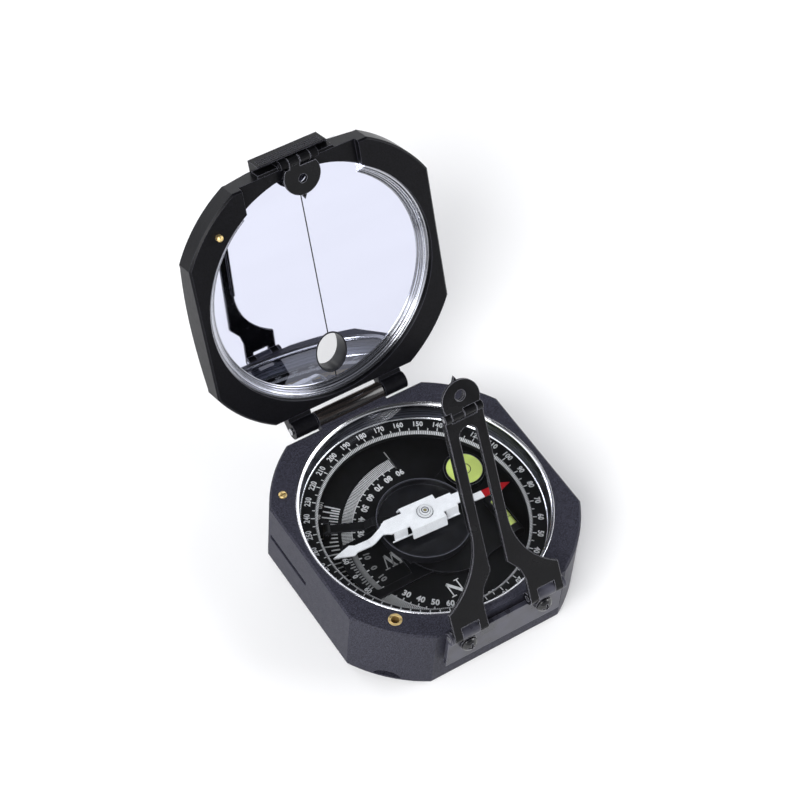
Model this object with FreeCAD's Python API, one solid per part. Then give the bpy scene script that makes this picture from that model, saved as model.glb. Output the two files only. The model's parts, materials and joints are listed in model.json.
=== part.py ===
import FreeCAD, Part
import math
import os

# A pocket transit: a sighting compass in a folding case, with a mirror lid, a long sight
# arm, a dip scale and two spirit levels. Millimetres, +Z up. The origin is on the face that
# the compass lies on, under the needle's pivot. +Y points to the lid hinge, -Y to the arm.

V = FreeCAD.Vector
X_AXIS = V(1, 0, 0)
Y_AXIS = V(0, 1, 0)
Z_AXIS = V(0, 0, 1)

# Clearances
slip = 0.02            # a piece set in its seat
running = 0.06         # radial clearance of a pin that turns in its bore
gap = 0.3              # a moving piece passing a fixed one
hairline = 0.1         # two pieces that face each other and slide

# Case outline, the same for base and lid
outline_radius = 41.65
half_width = 36.5
back_flat = 35.55
front_flat = 36.36
edge_bevel = 0.5
bottom_bevel = 0.3

# Base, bottom to top
cover_thick = 0.8
case_height = 21.7
recess_depth = 3.6
floor_thick = 1.8
dial_space = 2.4
dial_thick = 1.0
rotor_gap = 0.4
rotor_thick = 1.0
seat_thick = 0.7
gear_thick = 1.4
azimuth_thick = 2.0
bezel_sink = 0.2
bezel_thick = 0.7
glass_thick = 1.2

case_bottom = cover_thick
case_top = case_bottom + case_height
recess_top = case_bottom + recess_depth
floor_top = recess_top + floor_thick
dial_bottom = floor_top + dial_space
dial_top = dial_bottom + dial_thick
rotor_bottom = dial_top + rotor_gap
rotor_top = rotor_bottom + rotor_thick
vernier_thick = 0.8
seat_bottom = rotor_top + vernier_thick + 0.2
seat_top = seat_bottom + seat_thick
gear_bottom = seat_top + hairline
gear_top = gear_bottom + gear_thick
azimuth_top = gear_top + azimuth_thick
liner_bottom = azimuth_top + 0.2
bezel_top = case_top - bezel_sink
glass_top = bezel_top - bezel_thick
glass_bottom = glass_top - glass_thick

# Bores of the base
bore_radius = 34.7
dial_bore_radius = 34.3
sump_radius = 30.5

# Side slots for a tripod bracket
slot_from_y = 1.0
slot_to_y = 19.0
slot_height = 1.8
slot_depth = 1.2
slot_z = case_bottom + 10.0

# Clinometer axis, off the needle's pivot as the dip scale is
dip_x = 5.3
dip_y = -3.16
dip_offset = math.hypot(dip_x, dip_y)
post_direction = math.degrees(math.atan2(-dip_y, -dip_x))
lever_recess_radius = 25.5
shaft_radius = 1.5
bush_radius = 2.6
bush_flange_radius = 3.8
bush_flange_thick = 0.9
hub_radius = 14.0
vernier_screw_radius = hub_radius - 1.2
vernier_screw_angles = (167.0, 193.0)
vernier_radius = 30.2
vernier_half_angle = 13.5
vernier_half_width = 9.6
vernier_shoulder = 26.8
vernier_root_half = 4.5
vernier_window_from = 15.4
vernier_window_to = 27.3
vernier_window_half = 7.2
vernier_window_corner = 0.8
clinometer_range = 80.0

# Dial plate and its screws
dial_screw_radius = 32.3
dial_screw_angles = (20.0, 110.0, 250.0)
dial_screw_shank = 0.9
dial_screw_head = 1.7
dial_screw_length = 2.6

# Needle, its post and the damping cup
post_radius = 1.3
post_neck_radius = 0.7
post_flange_radius = 2.2
post_flange_thick = 1.0
cup_radius = 13.0
cup_wall = 0.5
cup_floor = azimuth_top - 1.9
cup_rim = azimuth_top + 0.2
needle_top = glass_bottom - 1.2
needle_thick = 0.5
needle_heading = -3.3
needle_south = 27.7
needle_north = 26.9
limb_sink = 0.6
limb_half_width = 1.08
limb_south = 16.1
limb_north = 15.2
bend_from = 12.9
bend_round = 0.5
barb_half_width = 1.74
barb_lead = 1.3
south_barb = 5.6
north_barb = 4.4
saddle_from = -5.9
saddle_to = 4.5
saddle_half_width = 3.9
saddle_flange_drop = 2.8
saddle_flange_flare = 1.1
wing_from = -11.4
wing_to = 9.0
wing_half_width = 2.3
wing_flange_from = -10.6
neck_half_width = 1.6
wing_flange_drop = 2.8
cap_radius = 2.1
cap_step_radius = 1.45
cap_height = 0.7
jewel_radius = 0.5
red_from = 18.4
magnet_middle = -8.65
magnet_length = 2.6
magnet_width = 1.0
magnet_height = 1.6

# Azimuth ring, gear and adjusting screw
azimuth_inner = 28.5
azimuth_outer = 33.9
azimuth_bevel = 0.7
gear_module = 0.6
ring_teeth = 112
pinion_teeth = 8
tooth_addendum = 0.38
tooth_dedendum = 0.55
tip_share = 0.24
root_share = 0.50
gear_inner = 31.8
ring_pitch = gear_module * ring_teeth / 2.0
pinion_pitch = gear_module * pinion_teeth / 2.0
pinion_distance = ring_pitch + pinion_pitch
pinion_angle = 224.5
pinion_shaft_radius = 1.0
knob_radius = 3.0
knob_thick = 2.0
knob_lift = 0.5
notch_half_width = 3.9
notch_height = 2.9

# Liner, glass and bezel
liner_lower_inner = 33.1
liner_upper_inner = 33.9
bezel_inner = 33.6
glass_radius = 34.4

# Levels on the clinometer arm
round_x = 19.6
round_y = 9.6
round_housing_radius = 5.8
round_housing_height = 2.6
round_wall = 0.8
tube_x = 21.0
tube_y = -7.85
tube_length = 13.0
tube_radius = 1.6
tube_rise = 0.9
tube_window = 9.6
tube_window_half = 1.45
tube_holder_wall = 0.5

# Needle lifter
lift_pin_x = -31.2
lift_pin_y = 21.9
lift_pin_radius = 1.15
lift_stem_radius = 0.7
lift_collar_radius = 1.9
lift_pin_proud = 0.2
lift_chamber_radius = 2.2
lifter_angle = 151.5
lifter_pivot_radius = 26.0
lifter_width = 2.6
lifter_thick = 0.5
lifter_pivot_pin = 0.45
lifter_ear = 0.6
lifter_sleeve_top = needle_top - needle_thick - 2.1
spring_wire = 0.2
spring_radius = 1.35
spring_turns = 4.0

# Lid, in the closed pose
lid_gap = 0.3
lid_wall = 5.9
lid_raise = 2.3
mirror_sink = 3.4
mirror_thick = 1.6
mirror_radius = 33.4
lid_bore = 34.0
lid_open = 111.5
hinge_y = 38.87
hinge_sink = 0.31
hinge_z = case_top - hinge_sink
hinge_barrel = 2.4
hinge_pin_radius = 1.0
base_lug_half = 10.4
lid_lug_from = 10.9
lid_lug_to = 18.0
hinge_pin_half = 18.4
window_y = 23.2
window_half_x = 4.6
window_half_y = 6.0
land_half_width = 17.5
land_depth = 2.0
ring_gap_half = 17.5

lid_rim = case_top + lid_gap
lid_edge = lid_rim + lid_wall
lid_back = lid_edge + lid_raise
mirror_face = lid_rim + mirror_sink
mirror_back = mirror_face + mirror_thick

# Latch
latch_x = -26.6
latch_y = -26.4
latch_pin_radius = 0.9
latch_pin_reach = 1.5
latch_bush_radius = 1.85
latch_bush_depth = 3.0

# Short sight on the lid's free end, closed pose
sight_pin_y = -38.0
sight_pin_z = lid_rim + 1.0
sight_barrel = 1.25
sight_pin_radius = 0.55
sight_bar_half = 11.6
sight_bar_bevel = 9.0
sight_bar_outer = -40.2
sight_bar_ridge = lid_rim + 1.0
sight_bar_top = lid_rim + 6.4
sight_web = 0.9
sight_web_low = lid_rim + 2.05
sight_screw_x = 8.4
sight_screw_z = lid_rim + 2.7
sight_screw_shank = 0.4
sight_screw_head = 0.6
sight_screw_seat = 34.3
sight_screw_grip = 0.7
sight_ear_from = 3.3
sight_ear_to = 5.6
leaf_thick = 0.7
leaf_radius = 5.45
leaf_centre = 4.6
leaf_hole_at = 5.4
leaf_hole_radius = 1.25
point_reach = 12.0

# Front bracket that carries the arm
bracket_half = 17.9
bracket_ear = 0.85
bracket_outer_y = -38.6
bracket_thick = 1.3
bracket_low = case_bottom + 8.6
bracket_high = case_bottom + 18.9
bracket_screw_x = 11.8
bracket_screw_z = case_bottom + 16.05
bracket_screw_shank = 1.25
bracket_head_radius = 2.3
bracket_head_height = 1.9
washer_radius = 2.5
washer_thick = 0.6
bracket_screw_grip = 3.2

# Sight arm, laid flat over the glass
arm_hinge_y = -38.4
arm_hinge_sink = 0.6
arm_hinge_z = case_top - arm_hinge_sink
arm_barrel = 1.8
arm_pin_radius = 0.8
arm_thick = 0.9
arm_bevel = 0.15
arm_lean = 118.8
arm_foot_inner = 6.6
arm_foot_outer = bracket_half - bracket_ear - hairline
arm_knuckle_from = 9.3
arm_knuckle_to = 14.4
arm_slot_half = 2.6
arm_rail_outer = 5.6
arm_flange = 1.0
arm_flange_thick = 0.8
arm_slot_top = 53.4
arm_head_end = 58.5
tip_pin_s = 60.0
tip_barrel = 1.2
tip_pin_radius = 0.55
tip_ear_from = 3.7
peep_centre = 3.9
peep_hole_at = 5.1
peep_hole_radius = 1.5
pointer_reach = 10.2

# Bottom cover
cover_inset = 0.3
cover_screw_inset = 3.9
cover_screw_radius = half_width - cover_screw_inset
cover_knob_hole = 2.3
cover_screw_angles = (75.0, 140.0, 205.0, 280.0)
cover_screw_shank = 0.9
cover_screw_head = cover_screw_shank + 0.9 * cover_thick
cover_screw_length = 3.0

# Clinometer lever under the base
lever_bottom = case_bottom + 1.2
lever_thick = 1.5
lever_hub_radius = 4.2
lever_reach = 19.0
lever_width = 5.5


def polar(radius, angle):
    return radius * math.cos(math.radians(angle)), radius * math.sin(math.radians(angle))


def cylinder(radius, low, high, x=0.0, y=0.0):
    return Part.makeCylinder(radius, high - low, V(x, y, low))


def tube(outer, inner, low, high, x=0.0, y=0.0):
    return cylinder(outer, low, high, x, y).cut(cylinder(inner, low - 1, high + 1, x, y))


def cone(low_radius, high_radius, low, high, x=0.0, y=0.0):
    return Part.makeCone(low_radius, high_radius, high - low, V(x, y, low))


def rod_x(radius, x_from, x_to, y, z):
    return Part.makeCylinder(radius, x_to - x_from, V(x_from, y, z), X_AXIS)


def rod_y(radius, y_from, y_to, x, z):
    return Part.makeCylinder(radius, y_to - y_from, V(x, y_from, z), Y_AXIS)


def block(x_from, x_to, y_from, y_to, z_from, z_to):
    return Part.makeBox(x_to - x_from, y_to - y_from, z_to - z_from, V(x_from, y_from, z_from))


def plate(points, low, high):
    corners = [V(x, y, low) for x, y in points]
    face = Part.Face(Part.makePolygon(corners + corners[:1]))
    return face.extrude(V(0, 0, high - low))


def bar_x(points, x_from, x_to):
    corners = [V(x_from, y, z) for y, z in points]
    face = Part.Face(Part.makePolygon(corners + corners[:1]))
    return face.extrude(V(x_to - x_from, 0, 0))


def fuse(shapes):
    whole = shapes[0]
    for shape in shapes[1:]:
        whole = whole.fuse(shape)
    return whole.removeSplitter()


def mirrored(shape):
    return shape.mirror(V(0, 0, 0), X_AXIS)


def turned(shape, point, axis, angle):
    copy = shape.copy()
    copy.rotate(point, axis, angle)
    return copy


def spun(shape, angle, x=0.0, y=0.0):
    return turned(shape, V(x, y, 0), Z_AXIS, angle)


def opened(shape):
    """A piece of the lid, turned from the closed pose to the pose that it is shown in."""
    return turned(shape, V(0, hinge_y, hinge_z), X_AXIS, -lid_open)


def raised(shape):
    """A piece of the arm, turned up from the pose flat over the glass."""
    return turned(shape, V(0, arm_hinge_y, arm_hinge_z), X_AXIS, 180.0 - arm_lean)


def bevelled(shape, size, wanted):
    edges = [e for e in shape.Edges if wanted(e)]
    return shape.makeChamfer(size, edges)


def outline(low, high, inset=0.0):
    disc = cylinder(outline_radius - inset, low, high)
    return disc.common(block(inset - half_width, half_width - inset, inset - front_flat,
                             back_flat - inset, low, high))


def is_level(edge, height):
    box = edge.BoundBox
    return abs(box.ZMin - height) < 1e-4 and abs(box.ZMax - height) < 1e-4


def is_rim(edge, height):
    middle = edge.valueAt((edge.FirstParameter + edge.LastParameter) / 2.0)
    return is_level(edge, height) and math.hypot(middle.x, middle.y) > bore_radius + 0.6


def countersunk_screw(x, y, top, shank, head, length):
    """A screw whose flat head is level with the height top, pointing down."""
    screw = fuse([
        cylinder(shank, top - length, top, x, y),
        cone(shank, head, top - (head - shank), top, x, y),
    ])
    return screw.cut(block(x - head, x + head, y - 0.2, y + 0.2, top - 0.35, top + 1))


def countersunk_hole(x, y, top, shank, head, length):
    sink = head + slip - (shank + slip)
    return fuse([
        cylinder(shank + slip, top - length - hairline, top + 1, x, y),
        cone(shank + slip, head + slip, top - sink, top, x, y),
    ])


def export(name, shapes):
    solids = []
    for shape in shapes:
        solids.extend(shape.Solids)
    for solid in solids:
        if not solid.isValid():
            raise RuntimeError(name + " is not a valid solid")
    whole = solids[0] if len(solids) == 1 else Part.makeCompound(solids)
    whole.exportStep(os.path.join("parts", name + ".step"))
    print(name, len(solids), round(sum(s.Volume for s in solids), 3))


# Gear teeth

def gear_disc(teeth, phase, low, high):
    """A toothed disc about the Z axis; phase is the direction of one tooth's middle."""
    pitch = gear_module * teeth / 2.0
    tip = pitch + tooth_addendum
    root = pitch - tooth_dedendum
    step = 360.0 / teeth
    points = []
    for tooth in range(teeth):
        middle = phase + tooth * step
        for radius, share in ((root, -root_share), (tip, -tip_share), (tip, tip_share), (root, root_share)):
            points.append(polar(radius, middle + share * step / 2.0))
    return plate(points, low, high)


# Base

def pinion_place():
    return polar(pinion_distance, pinion_angle)


def base_case():
    body = bevelled(outline(case_bottom, case_top), edge_bevel, lambda e: is_rim(e, case_top))
    body = bevelled(body, bottom_bevel, lambda e: is_rim(e, case_bottom))
    px, py = pinion_place()
    cuts = [
        cylinder(lever_recess_radius, case_bottom - 1, recess_top, dip_x, dip_y),
        cylinder(sump_radius, floor_top, dial_bottom + 1),
        cylinder(dial_bore_radius, dial_bottom, seat_bottom + 1),
        cylinder(bore_radius, seat_bottom, case_top + 1),
        cylinder(bush_radius + slip, recess_top - 1, floor_top + 1, dip_x, dip_y),
        cylinder(post_radius + slip, recess_top - 1, floor_top + 1),
        cylinder(latch_bush_radius + slip, case_top - latch_bush_depth, case_top + 1, latch_x, latch_y),
        cylinder(pinion_pitch + tooth_addendum + gap, gear_bottom - gap, gear_top + gap, px, py),
        cylinder(pinion_shaft_radius + running, case_bottom, gear_bottom, px, py),
        cylinder(knob_radius + gap, case_bottom - 1, case_bottom + notch_height, px, py),
    ]
    notch = Part.makeCylinder(notch_half_width, outline_radius - pinion_distance + 1)
    notch.rotate(V(0, 0, 0), Y_AXIS, 90)
    squash = FreeCAD.Matrix()
    squash.scale(1, 1, notch_height / notch_half_width)
    notch = notch.transformGeometry(squash)
    notch.translate(V(pinion_distance, 0, case_bottom))
    cuts.append(spun(notch, pinion_angle))
    for side in (-1, 1):
        x_from = side * half_width - slot_depth
        cuts.append(block(x_from, x_from + 2 * slot_depth, slot_from_y, slot_to_y,
                          slot_z - slot_height / 2, slot_z + slot_height / 2))
        cuts.append(rod_y(bracket_screw_shank + slip, -front_flat - 1,
                          -front_flat + bracket_screw_grip + hairline,
                          side * bracket_screw_x, bracket_screw_z))
    for angle in dial_screw_angles:
        x, y = polar(dial_screw_radius, angle)
        cuts.append(cylinder(dial_screw_shank + slip, dial_top - dial_screw_length - hairline,
                             dial_bottom + 1, x, y))
    for angle in cover_screw_angles:
        x, y = polar(cover_screw_radius, angle)
        cuts.append(cylinder(cover_screw_shank + slip, case_bottom - 1,
                             cover_screw_length + hairline, x, y))
    cuts.extend(lifter_cuts())
    lug = fuse([
        rod_x(hinge_barrel, -base_lug_half, base_lug_half, hinge_y, hinge_z),
        block(-base_lug_half, base_lug_half, back_flat - 0.5, hinge_y,
              hinge_z - hinge_barrel, hinge_z),
    ]).cut(block(-base_lug_half, base_lug_half, back_flat - 1, back_flat - 0.5 + 1e-3,
                 hinge_z - 5, hinge_z + 5))
    body = body.cut(Part.makeCompound(cuts))
    body = fuse([body, lug])
    body = body.cut(rod_x(hinge_pin_radius + slip, -base_lug_half - 1, base_lug_half + 1,
                          hinge_y, hinge_z))
    return body.cut(cylinder(bore_radius, seat_bottom, case_top + 1))


def bottom_cover():
    """A cover with the case's outline, open for the clinometer's lever and the slotted knob."""
    cover = bevelled(outline(0, cover_thick, cover_inset), bottom_bevel, lambda e: is_rim(e, 0))
    cover = cover.cut(cylinder(lever_recess_radius + hairline, -1, cover_thick + 1, dip_x, dip_y))
    cover = cover.cut(cylinder(cover_knob_hole, -1, cover_thick + 1, *pinion_place()))
    for angle in cover_screw_angles:
        x, y = polar(cover_screw_radius, angle)
        hole = fuse([
            cylinder(cover_screw_shank + slip, -1, cover_thick + 1, x, y),
            cone(cover_screw_head + slip, cover_screw_shank + slip, 0,
                 cover_screw_head - cover_screw_shank, x, y),
        ])
        cover = cover.cut(hole)
    return cover


def cover_screws():
    screws = []
    for angle in cover_screw_angles:
        x, y = polar(cover_screw_radius, angle)
        screw = fuse([
            cylinder(cover_screw_shank, 0, cover_screw_length, x, y),
            cone(cover_screw_head, cover_screw_shank, 0,
                 cover_screw_head - cover_screw_shank, x, y),
        ])
        slot = block(x - cover_screw_head, x + cover_screw_head, y - 0.2, y + 0.2, -1, 0.35)
        screws.append(screw.cut(slot))
    return screws


def dial_plate():
    dial = cylinder(dial_bore_radius - hairline, dial_bottom, dial_top)
    cuts = [
        cylinder(post_radius + hairline, dial_bottom - 1, dial_top + 1),
        cylinder(bush_radius, dial_bottom - 1, dial_top + 1, dip_x, dip_y),
    ]
    for angle in dial_screw_angles:
        x, y = polar(dial_screw_radius, angle)
        cuts.append(countersunk_hole(x, y, dial_top, dial_screw_shank, dial_screw_head,
                                     dial_thick))
    return dial.cut(Part.makeCompound(cuts))


def dial_screws():
    screws = []
    for angle in dial_screw_angles:
        x, y = polar(dial_screw_radius, angle)
        screws.append(countersunk_screw(x, y, dial_top, dial_screw_shank, dial_screw_head,
                                        dial_screw_length))
    return screws


def latch_bush():
    bush = tube(latch_bush_radius, latch_pin_radius + 0.25, case_top - latch_bush_depth,
                case_top, latch_x, latch_y)
    return bush


# Azimuth ring and its drive

def azimuth_ring():
    ring = tube(azimuth_outer, azimuth_inner, gear_top, azimuth_top)
    bevel = cone(azimuth_inner - 0.01, azimuth_inner + azimuth_bevel,
                 azimuth_top - azimuth_bevel, azimuth_top + 0.001)
    return ring.cut(bevel)


def ring_gear():
    gear = gear_disc(ring_teeth, pinion_angle, gear_bottom, gear_top)
    return gear.cut(cylinder(gear_inner, gear_bottom - 1, gear_top + 1))


def ring_seat():
    return tube(bore_radius - hairline, gear_inner, seat_bottom, seat_top)


def adjusting_pinion():
    px, py = pinion_place()
    gear = gear_disc(pinion_teeth, pinion_angle + 180.0 + 180.0 / pinion_teeth,
                     gear_bottom, gear_top)
    shaft = cylinder(pinion_shaft_radius, case_bottom + knob_lift + knob_thick, gear_bottom)
    whole = fuse([gear, shaft])
    whole.translate(V(px, py, 0))
    return whole


def adjusting_knob():
    px, py = pinion_place()
    low = case_bottom + knob_lift
    knob = cylinder(knob_radius, low, low + knob_thick)
    ribs = 20
    grooves = [cylinder(0.22, low - 1, low + knob_thick + 1, *polar(knob_radius, 360.0 * n / ribs))
               for n in range(ribs)]
    knob = knob.cut(Part.makeCompound(grooves))
    knob = knob.cut(block(-knob_radius, knob_radius, -0.35, 0.35, low - 1, low + 0.7))
    knob.translate(V(px, py, 0))
    return knob


# Liner, glass and bezel

def glass_liner():
    outer = cylinder(bore_radius - slip, liner_bottom, glass_bottom)
    return outer.cut(cone(liner_lower_inner, liner_upper_inner, liner_bottom, glass_bottom))


def window_glass():
    return cylinder(glass_radius, glass_bottom, glass_top)


def glass_bezel():
    outer = cylinder(bore_radius - slip, glass_top, bezel_top)
    return outer.cut(cone(bezel_inner, bezel_inner + bezel_thick, glass_top, bezel_top))


# Clinometer

def clinometer_bush():
    return fuse([
        tube(bush_radius, shaft_radius + running, recess_top, floor_top, dip_x, dip_y),
        tube(bush_flange_radius, shaft_radius + running, floor_top,
             floor_top + bush_flange_thick, dip_x, dip_y),
    ])


def clinometer_shaft():
    low = lever_bottom
    square = 0.9 * shaft_radius
    collar_low = floor_top + bush_flange_thick + hairline
    body = fuse([
        cylinder(shaft_radius, low + lever_thick, rotor_bottom, dip_x, dip_y),
        cylinder(bush_radius - 0.3, collar_low, collar_low + 0.8, dip_x, dip_y),
        cylinder(shaft_radius - 0.4, rotor_bottom, rotor_top, dip_x, dip_y),
        block(dip_x - square, dip_x + square, dip_y - square / 2, dip_y + square / 2,
              low, low + lever_thick + 0.2),
    ])
    holes = Part.makeCompound([
        cylinder(0.5 + slip, rotor_top - 3.0, rotor_top + 1, dip_x, dip_y),
        cylinder(0.5 + slip, low - 1, low + 3.0, dip_x, dip_y),
    ])
    return body.cut(holes)


def hub_screw():
    head = fuse([
        cylinder(2.2, rotor_top, rotor_top + 1.0, dip_x, dip_y),
        cylinder(0.5, rotor_top - 2.8, rotor_top, dip_x, dip_y),
    ])
    return head.cut(block(dip_x - 3, dip_x + 3, dip_y - 0.25, dip_y + 0.25,
                          rotor_top + 0.5, rotor_top + 2))


def lever_screw():
    head = fuse([
        cylinder(1.8, lever_bottom - 0.7, lever_bottom, dip_x, dip_y),
        cylinder(0.5, lever_bottom, lever_bottom + 2.8, dip_x, dip_y),
    ])
    return head.cut(block(dip_x - 3, dip_x + 3, dip_y - 0.25, dip_y + 0.25,
                          lever_bottom - 2, lever_bottom - 0.35))


def friction_washer():
    low = lever_bottom + lever_thick
    return tube(3.4, shaft_radius + running, low, recess_top, dip_x, dip_y)


def clinometer_lever():
    high = lever_bottom + lever_thick
    square = 0.9 * shaft_radius
    hub = cylinder(lever_hub_radius, lever_bottom, high)
    arm = block(-lever_reach, 0, -lever_width / 2, lever_width / 2, lever_bottom, high)
    tip = cylinder(lever_width / 2, lever_bottom, high, -lever_reach, 0)
    ribs = [block(-lever_reach + n * 1.4 - 0.35, -lever_reach + n * 1.4 + 0.35,
                  -lever_width / 2 + 0.6, lever_width / 2 - 0.6,
                  lever_bottom - 0.6, lever_bottom + 0.1) for n in range(4)]
    lever = fuse([hub, arm, tip] + ribs)
    lever = lever.cut(block(-square - slip, square + slip, -square / 2 - slip,
                            square / 2 + slip, lever_bottom - 1, high + 1))
    lever.translate(V(dip_x, dip_y, 0))
    return lever


def post_slot(low, high):
    """The curved slot that lets the clinometer arm swing past the needle's post."""
    half = post_radius + 0.3
    band = tube(dip_offset + half, dip_offset - half, low, high)
    reach = hub_radius + 5
    wedge_points = [(0, 0)]
    steps = 6
    half_angle = clinometer_range + 4.0
    for n in range(steps + 1):
        wedge_points.append(polar(reach, post_direction - half_angle + 2 * half_angle * n / steps))
    band = band.common(plate(wedge_points, low, high))
    ends = [cylinder(half, low, high, *polar(dip_offset, post_direction + side * half_angle))
            for side in (-1, 1)]
    slot = fuse([band] + ends)
    slot.translate(V(dip_x, dip_y, 0))
    return slot


def clinometer_arm():
    low = rotor_bottom
    high = rotor_top
    hub = cylinder(hub_radius, low, high, dip_x, dip_y)
    level_pad = cylinder(round_housing_radius + 0.2, low, high, round_x, round_y)
    tube_half = tube_length / 2 + tube_holder_wall
    wing = plate([
        (dip_x + 2, dip_y + hub_radius - 0.6),
        (round_x - 2.0, round_y + round_housing_radius - 0.2),
        (round_x + 4.6, round_y + 2.0),
        (tube_x + tube_radius + 0.7, tube_y + tube_half),
        (tube_x + tube_radius + 0.7, tube_y - tube_half),
        (tube_x - tube_radius - 1.6, tube_y - tube_half),
        (dip_x + 3, dip_y - hub_radius + 0.8),
    ], low, high)
    arm = fuse([hub, level_pad, wing])
    cuts = [
        cylinder(shaft_radius - 0.4 + slip, low - 1, high + 1, dip_x, dip_y),
        post_slot(low - 1, high + 1),
        block(tube_x - tube_radius - 0.1, tube_x + tube_radius + 0.1,
              tube_y - tube_length / 2, tube_y + tube_length / 2, low - 1, high + 1),
    ]
    for angle in vernier_screw_angles:
        x, y = polar(vernier_screw_radius, angle)
        cuts.append(cylinder(0.5 + slip, low - 1, high + 1, dip_x + x, dip_y + y))
    return arm.cut(Part.makeCompound(cuts))


def vernier_window(low, high):
    """The opening in the vernier plate, over the middle of the dip scale."""
    opening = block(-vernier_radius, -vernier_window_from, -vernier_window_half,
                    vernier_window_half, low, high)
    opening = opening.common(cylinder(vernier_window_to, low, high))
    upright = [e for e in opening.Edges if e.BoundBox.ZLength > (high - low) / 2]
    return opening.makeFillet(vernier_window_corner, upright)


def vernier_plate():
    """A formed sheet: the root lies on the clinometer arm and the fan is level with it."""
    low = rotor_bottom
    high = low + vernier_thick
    lap_top = rotor_top + vernier_thick
    lap_inner = dip_offset + post_radius + 0.5
    step_inner = hub_radius + hairline
    step_outer = step_inner + vernier_thick
    corner_x, corner_y = polar(vernier_radius, 180.0 - vernier_half_angle)
    beyond = -vernier_radius * 1.1
    fan = plate([
        (-hub_radius / 2, -vernier_half_width), (-vernier_shoulder, -vernier_half_width),
        (corner_x, -corner_y), (beyond, -corner_y / 2), (beyond, corner_y / 2),
        (corner_x, corner_y), (-vernier_shoulder, vernier_half_width),
        (-hub_radius / 2, vernier_half_width),
    ], low, high)
    fan = fan.common(tube(vernier_radius, step_inner, low, high))
    fan = fan.cut(vernier_window(low - 1, high + 1))
    strip = block(-step_outer, 0, -vernier_root_half, vernier_root_half, low, lap_top)
    step = strip.common(tube(step_outer, step_inner, low, lap_top))
    lap = strip.common(tube(step_outer, lap_inner, rotor_top, lap_top))
    shape = fuse([fan, step, lap])
    for angle in vernier_screw_angles:
        x, y = polar(vernier_screw_radius, angle)
        shape = shape.cut(cylinder(0.5 + slip, rotor_top - 1, rotor_top + 3, x, y))
    shape.translate(V(dip_x, dip_y, 0))
    return shape


def vernier_rivets():
    rivets = []
    high = rotor_top + vernier_thick
    for angle in vernier_screw_angles:
        x, y = polar(vernier_screw_radius, angle)
        rivets.append(fuse([
            cylinder(0.5, rotor_bottom, high, dip_x + x, dip_y + y),
            cylinder(0.9, high, high + 0.3, dip_x + x, dip_y + y),
        ]))
    return rivets


def round_level_housing():
    high = rotor_top + round_housing_height
    shell = cylinder(round_housing_radius, rotor_top, high, round_x, round_y)
    return shell.cut(cylinder(round_housing_radius - round_wall, rotor_top + 0.5, high + 1,
                              round_x, round_y))


def round_level_vial():
    high = rotor_top + round_housing_height
    radius = round_housing_radius - round_wall - slip
    body = cylinder(radius, rotor_top + 0.5, high - 0.1, round_x, round_y)
    return body


def tube_level_holder():
    """A closed sleeve round the vial, with a window along its top."""
    z = rotor_top + tube_rise
    half = tube_length / 2 + tube_holder_wall
    outer = rod_y(tube_radius + tube_holder_wall, tube_y - half, tube_y + half, tube_x, z)
    skirt = block(tube_x - tube_radius - tube_holder_wall, tube_x + tube_radius + tube_holder_wall,
                  tube_y - half, tube_y + half, rotor_top, z)
    above = block(tube_x - 9, tube_x + 9, tube_y - half, tube_y + half, rotor_top, z + 9)
    sleeve = fuse([outer.common(above), skirt])
    sleeve = sleeve.cut(rod_y(tube_radius + slip, tube_y - tube_length / 2,
                              tube_y + tube_length / 2, tube_x, z))
    return sleeve.cut(block(tube_x - tube_window_half, tube_x + tube_window_half,
                            tube_y - tube_window / 2, tube_y + tube_window / 2, z, z + 9))


def tube_level_vial():
    z = rotor_top + tube_rise
    half = tube_length / 2 - slip
    return rod_y(tube_radius, tube_y - half, tube_y + half, tube_x, z)


# Needle, post and cup

post_tip = needle_top - needle_thick - 0.4
jewel_seat = post_tip + 0.3
cup_bottom = cup_floor - cup_wall


def pivot_post():
    return fuse([
        cylinder(post_radius, recess_top, floor_top),
        cylinder(post_flange_radius, floor_top, floor_top + post_flange_thick),
        cylinder(post_radius, floor_top, cup_bottom),
        cylinder(post_neck_radius, cup_bottom, post_tip - 1.2),
        cone(post_neck_radius, 0.08, post_tip - 1.2, post_tip),
    ])


def damping_cup():
    shell = tube(cup_radius, cup_radius - cup_wall, cup_bottom, cup_rim)
    floor = tube(cup_radius - cup_wall / 2, post_neck_radius + slip, cup_bottom, cup_floor)
    cup = fuse([shell, floor])
    notch = block(cup_radius - 2, cup_radius + 1, -lifter_width / 2 - gap,
                  lifter_width / 2 + gap, cup_floor + 0.05, cup_rim + 1)
    return cup.cut(spun(notch, lifter_angle))


def needle_at(shape):
    return spun(shape, needle_heading)


def needle_sheet(outline_points, x_from, x_to):
    """A strip of the needle's sheet: level in the middle, and bent down to both limbs."""
    limb_top = azimuth_top - limb_sink
    high = [
        (-needle_south - 1, limb_top), (-limb_south - bend_round, limb_top),
        (-limb_south + bend_round, limb_top + bend_round),
        (-bend_from - bend_round, needle_top - bend_round), (-bend_from + bend_round, needle_top),
        (bend_from - bend_round, needle_top), (bend_from + bend_round / 2, needle_top - bend_round),
        (limb_north - bend_round, limb_top + bend_round), (limb_north + bend_round, limb_top),
        (needle_north + 1, limb_top),
    ]
    side = high + [(x, z - needle_thick) for x, z in reversed(high)]
    corners = [V(x, -wing_half_width - 1, z) for x, z in side]
    sheet = Part.Face(Part.makePolygon(corners + corners[:1])).extrude(
        V(0, 2 * wing_half_width + 2, 0))
    sheet = sheet.common(block(x_from, x_to, -9, 9, 0, glass_bottom))
    return sheet.common(plate(outline_points, 0, glass_bottom))


def both_sides(points):
    """A closed outline from its upper half, mirrored in the needle's axis."""
    return points + [(x, -y) for x, y in reversed(points) if y > 0]


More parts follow.
